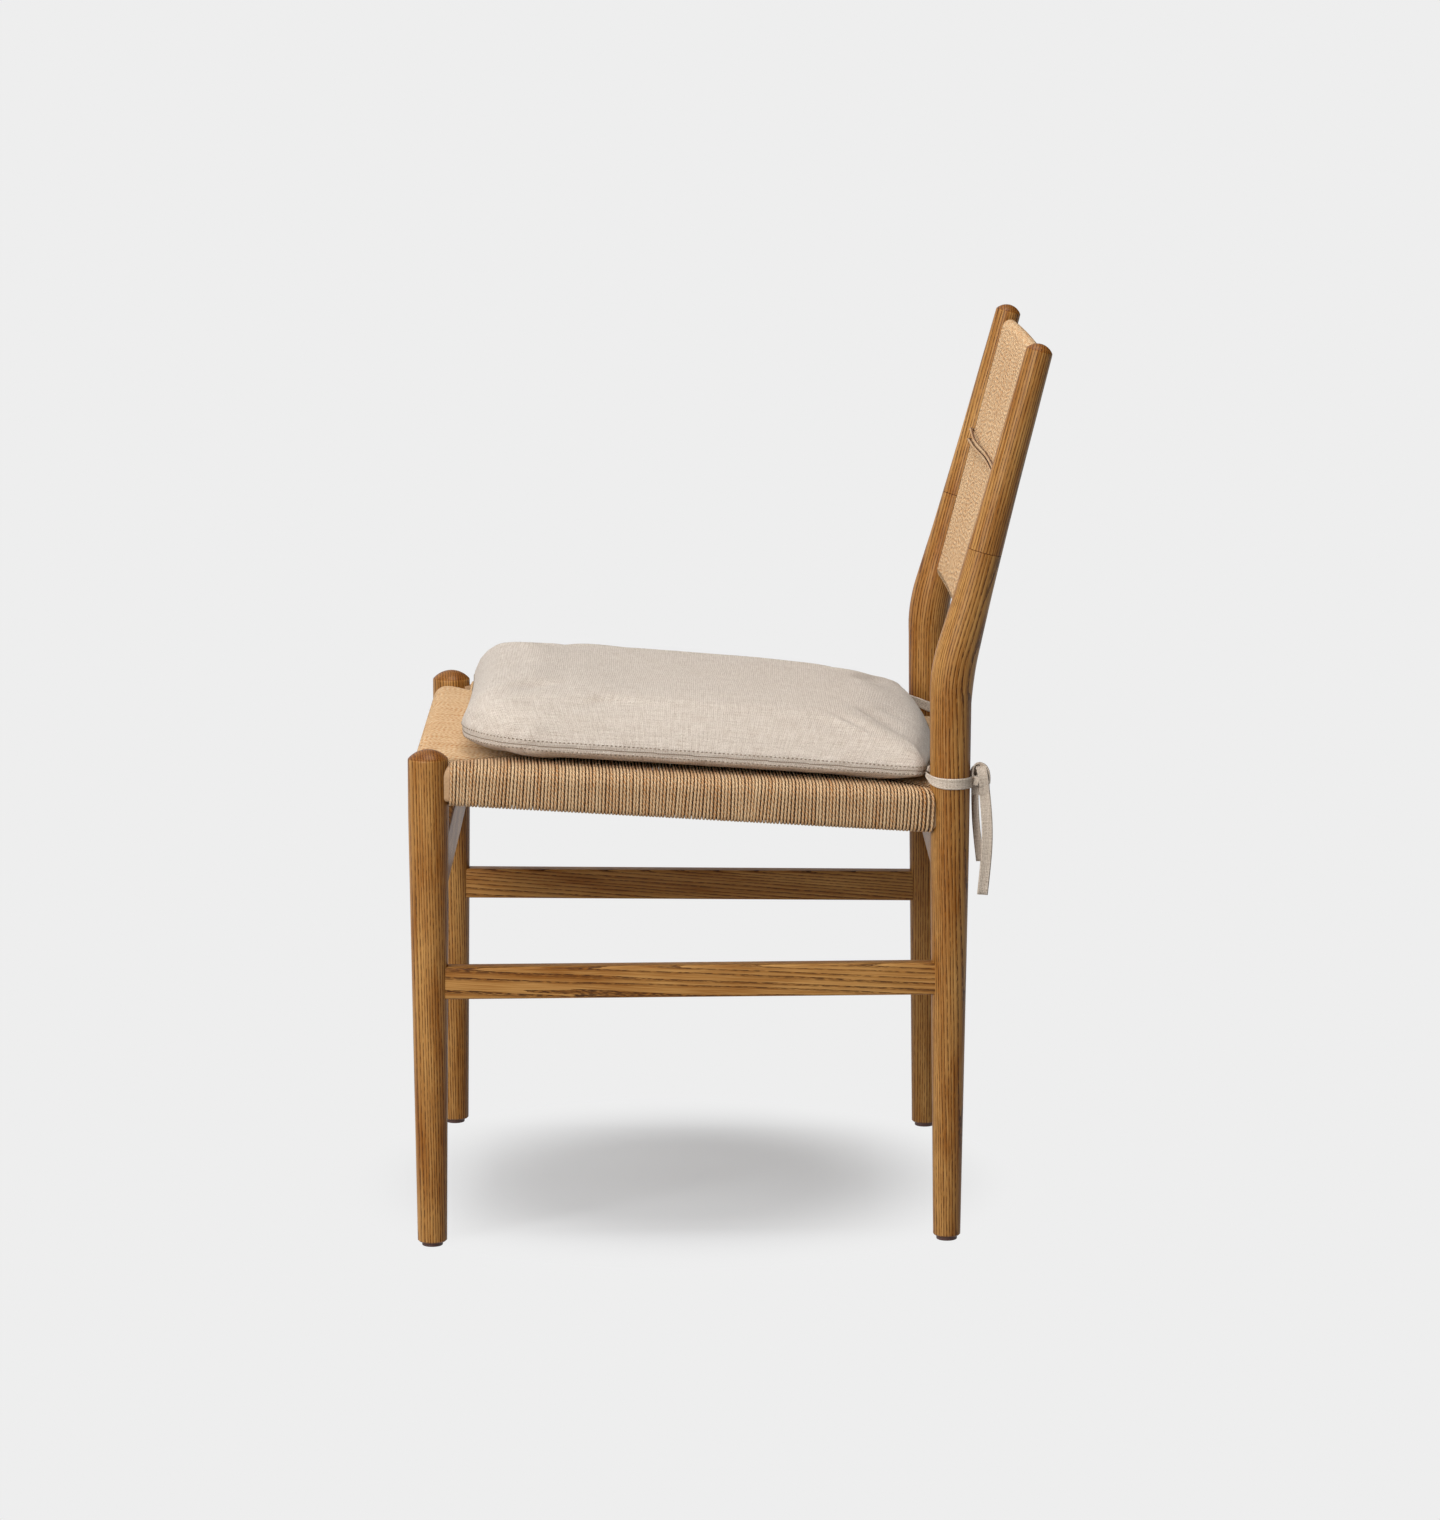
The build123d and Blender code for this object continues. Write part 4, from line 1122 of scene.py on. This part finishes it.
        # Real thread is 0.5 mm thick, too fine to show at this distance, so it is drawn coarser
        for w in (PAD_SEAM_W + 4.2, PAD_SEAM_W - 4.0):
            for start in np.arange(0, lengths[-1] - stitch, stitch):
                lay(w, start + np.linspace(0, 0.38 * stitch, 4), (0.5, 0.0, 0.0, 0.5), 0.62, False)
        # A dark thread along the seam: painted shade of the seam's crease
        around = np.linspace(0, lengths[-1], 500, endpoint=False)
        lay(PAD_SEAM_W, around, 0 * around + 0.2, 0.55, True)
        thread.piece("seat_pad_stitches", cotton_thread_painted_shade, "linen", body="seat_pad")


class CHAIR_OT_small_parts(bpy.types.Operator):
    """Finish the CAD solids that stay: bare rails and dowels under the cord, glides and their nails"""
    bl_idname = "chair.small_parts"
    bl_label = "Rails, dowels and glides"

    def execute(self, context):
        finishes = {
            "seat_rail": beech_planed_bare, "back_rail": beech_planed_bare, "post_dowel": beech_planed_bare,
            "glide_nails": steel_drawn_bright, "glide_": polyethylene_moulded_brown,
        }
        for node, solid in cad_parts.items():
            for start, build in finishes.items():
                if node.startswith(start):
                    solid.data.materials.clear()
                    solid.data.materials.append(material(build))
                    break
        return {"FINISHED"}


class CHAIR_OT_stage(bpy.types.Operator):
    """Set the pale floor, the soft lights, the backdrop and the camera"""
    bl_idname = "chair.stage"
    bl_label = "Stage"

    def execute(self, context):
        scene = context.scene
        scene.view_settings.view_transform = "Standard"
        self.camera(scene)
        self.floor(scene)
        self.backdrop(scene)
        stage = scene.chair.stage
        self.soft_light(scene, "key", (2.7, -1.55, 1.95), 2.2, stage.key)
        self.soft_light(scene, "top", (0.1, 0.0, 3.2), 1.6, stage.top)
        return {"FINISHED"}

    def camera(self, scene):
        lens = bpy.data.cameras.new("photo_camera")
        lens.sensor_fit = "VERTICAL"
        lens.sensor_height = 36.0
        # 5098 pixels of focal length on a frame 1520 pixels tall
        lens.lens = 36.0 * 5098.18 / 1520
        lens.clip_end = 100
        camera = bpy.data.objects.new("photo_camera", lens)
        camera.location = (4.7493, -0.0412, 1.2161)
        down, yaw = 0.1686, 0.0074
        forward = Vector((-cos(down) * cos(yaw), cos(down) * sin(yaw), -sin(down)))
        camera.rotation_euler = forward.to_track_quat("-Z", "Y").to_euler()
        scene.collection.objects.link(camera)
        scene.camera = camera

    def floor(self, scene):
        made = bmesh.new()
        bmesh.ops.create_circle(made, cap_ends=True, segments=96, radius=40.0)
        mesh = bpy.data.meshes.new("studio_floor")
        made.to_mesh(mesh)
        made.free()
        mesh.materials.append(material(floor_matt_paint))
        floor = bpy.data.objects.new("studio_floor", mesh)
        scene.collection.objects.link(floor)

    def backdrop(self, scene):
        """Light from all round, weaker behind the chair, and the backdrop's tone where the camera sees it."""
        world = bpy.data.worlds.new("studio")
        world.use_nodes = True
        tree = world.node_tree
        stage = scene.chair.stage
        way = add(tree, "TexCoord", {}, "Generated")
        rearward = add(tree, "SeparateXYZ", {0: way}, "Y")
        # From the front round to the rear the studio darkens to 6 %
        level = add(tree, "MapRange", {
            "Value": rearward, "From Min": -0.3, "From Max": 0.4, "To Min": 1.0, "To Max": 0.06,
        }, interpolation_type="SMOOTHSTEP")
        fill = add(tree, "Math", {0: level, 1: stage.sky}, operation="MULTIPLY")
        light = tree.nodes["Background"]
        feed(tree, light, {"Color": (1, 1, 1, 1), "Strength": fill})
        mirrored = add(tree, "Background", {"Color": stage.backdrop, "Strength": level})
        tone = add(tree, "Background", {"Color": stage.backdrop, "Strength": 1.0})
        rays = add(tree, "LightPath", {}).node.outputs
        shiny = add(tree, "Math", {
            0: rays["Is Glossy Ray"], 1: rays["Is Transmission Ray"]}, operation="MAXIMUM")
        both = add(tree, "MixShader", {0: shiny, 1: light.outputs[0], 2: mirrored})
        both = add(tree, "MixShader", {0: rays["Is Camera Ray"], 1: both, 2: tone})
        feed(tree, tree.nodes["World Output"], {"Surface": both})
        scene.world = world

    def soft_light(self, scene, name, place, size, watts):
        lamp = bpy.data.lights.new(f"soft_{name}", "AREA")
        lamp.size = size
        lamp.energy = watts
        light = bpy.data.objects.new(f"soft_{name}", lamp)
        light.location = place
        light.rotation_euler = (Vector((0, 0, 0.45)) - light.location).to_track_quat("-Z", "Y").to_euler()
        scene.collection.objects.link(light)


class CHAIR_PT_panel(bpy.types.Panel):
    """The chair's pieces and finishes in the sidebar"""
    bl_idname = "CHAIR_PT_panel"
    bl_label = "Side chair"
    bl_space_type = "VIEW_3D"
    bl_region_type = "UI"
    bl_category = "Chair"

    def draw(self, context):
        for group in ("oak", "cord", "linen", "stage"):
            box = self.layout.box()
            settings = getattr(context.scene.chair, group)
            for name in settings.__annotations__:
                box.prop(settings, name)
        for operator in OPERATORS:
            self.layout.operator(operator.bl_idname)


OPERATORS = (
    CHAIR_OT_stage, CHAIR_OT_ties, CHAIR_OT_legs, CHAIR_OT_posts, CHAIR_OT_stretchers, CHAIR_OT_seat_cord,
    CHAIR_OT_back_cord, CHAIR_OT_seat_pad, CHAIR_OT_small_parts,
)
CLASSES = (
    CHAIR_PG_oak, CHAIR_PG_cord, CHAIR_PG_linen, CHAIR_PG_stage, CHAIR_PG_settings, *OPERATORS,
    CHAIR_PT_panel,
)


def register():
    for cls in CLASSES:
        bpy.utils.register_class(cls)
    bpy.types.Scene.chair = PointerProperty(type=CHAIR_PG_settings)


def unregister():
    del bpy.types.Scene.chair
    for cls in reversed(CLASSES):
        bpy.utils.unregister_class(cls)


def main():
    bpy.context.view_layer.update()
    register()
    for operator in OPERATORS:
        group, name = operator.bl_idname.split(".")
        getattr(getattr(bpy.ops, group), name)()


if __name__ == "__main__":
    main()
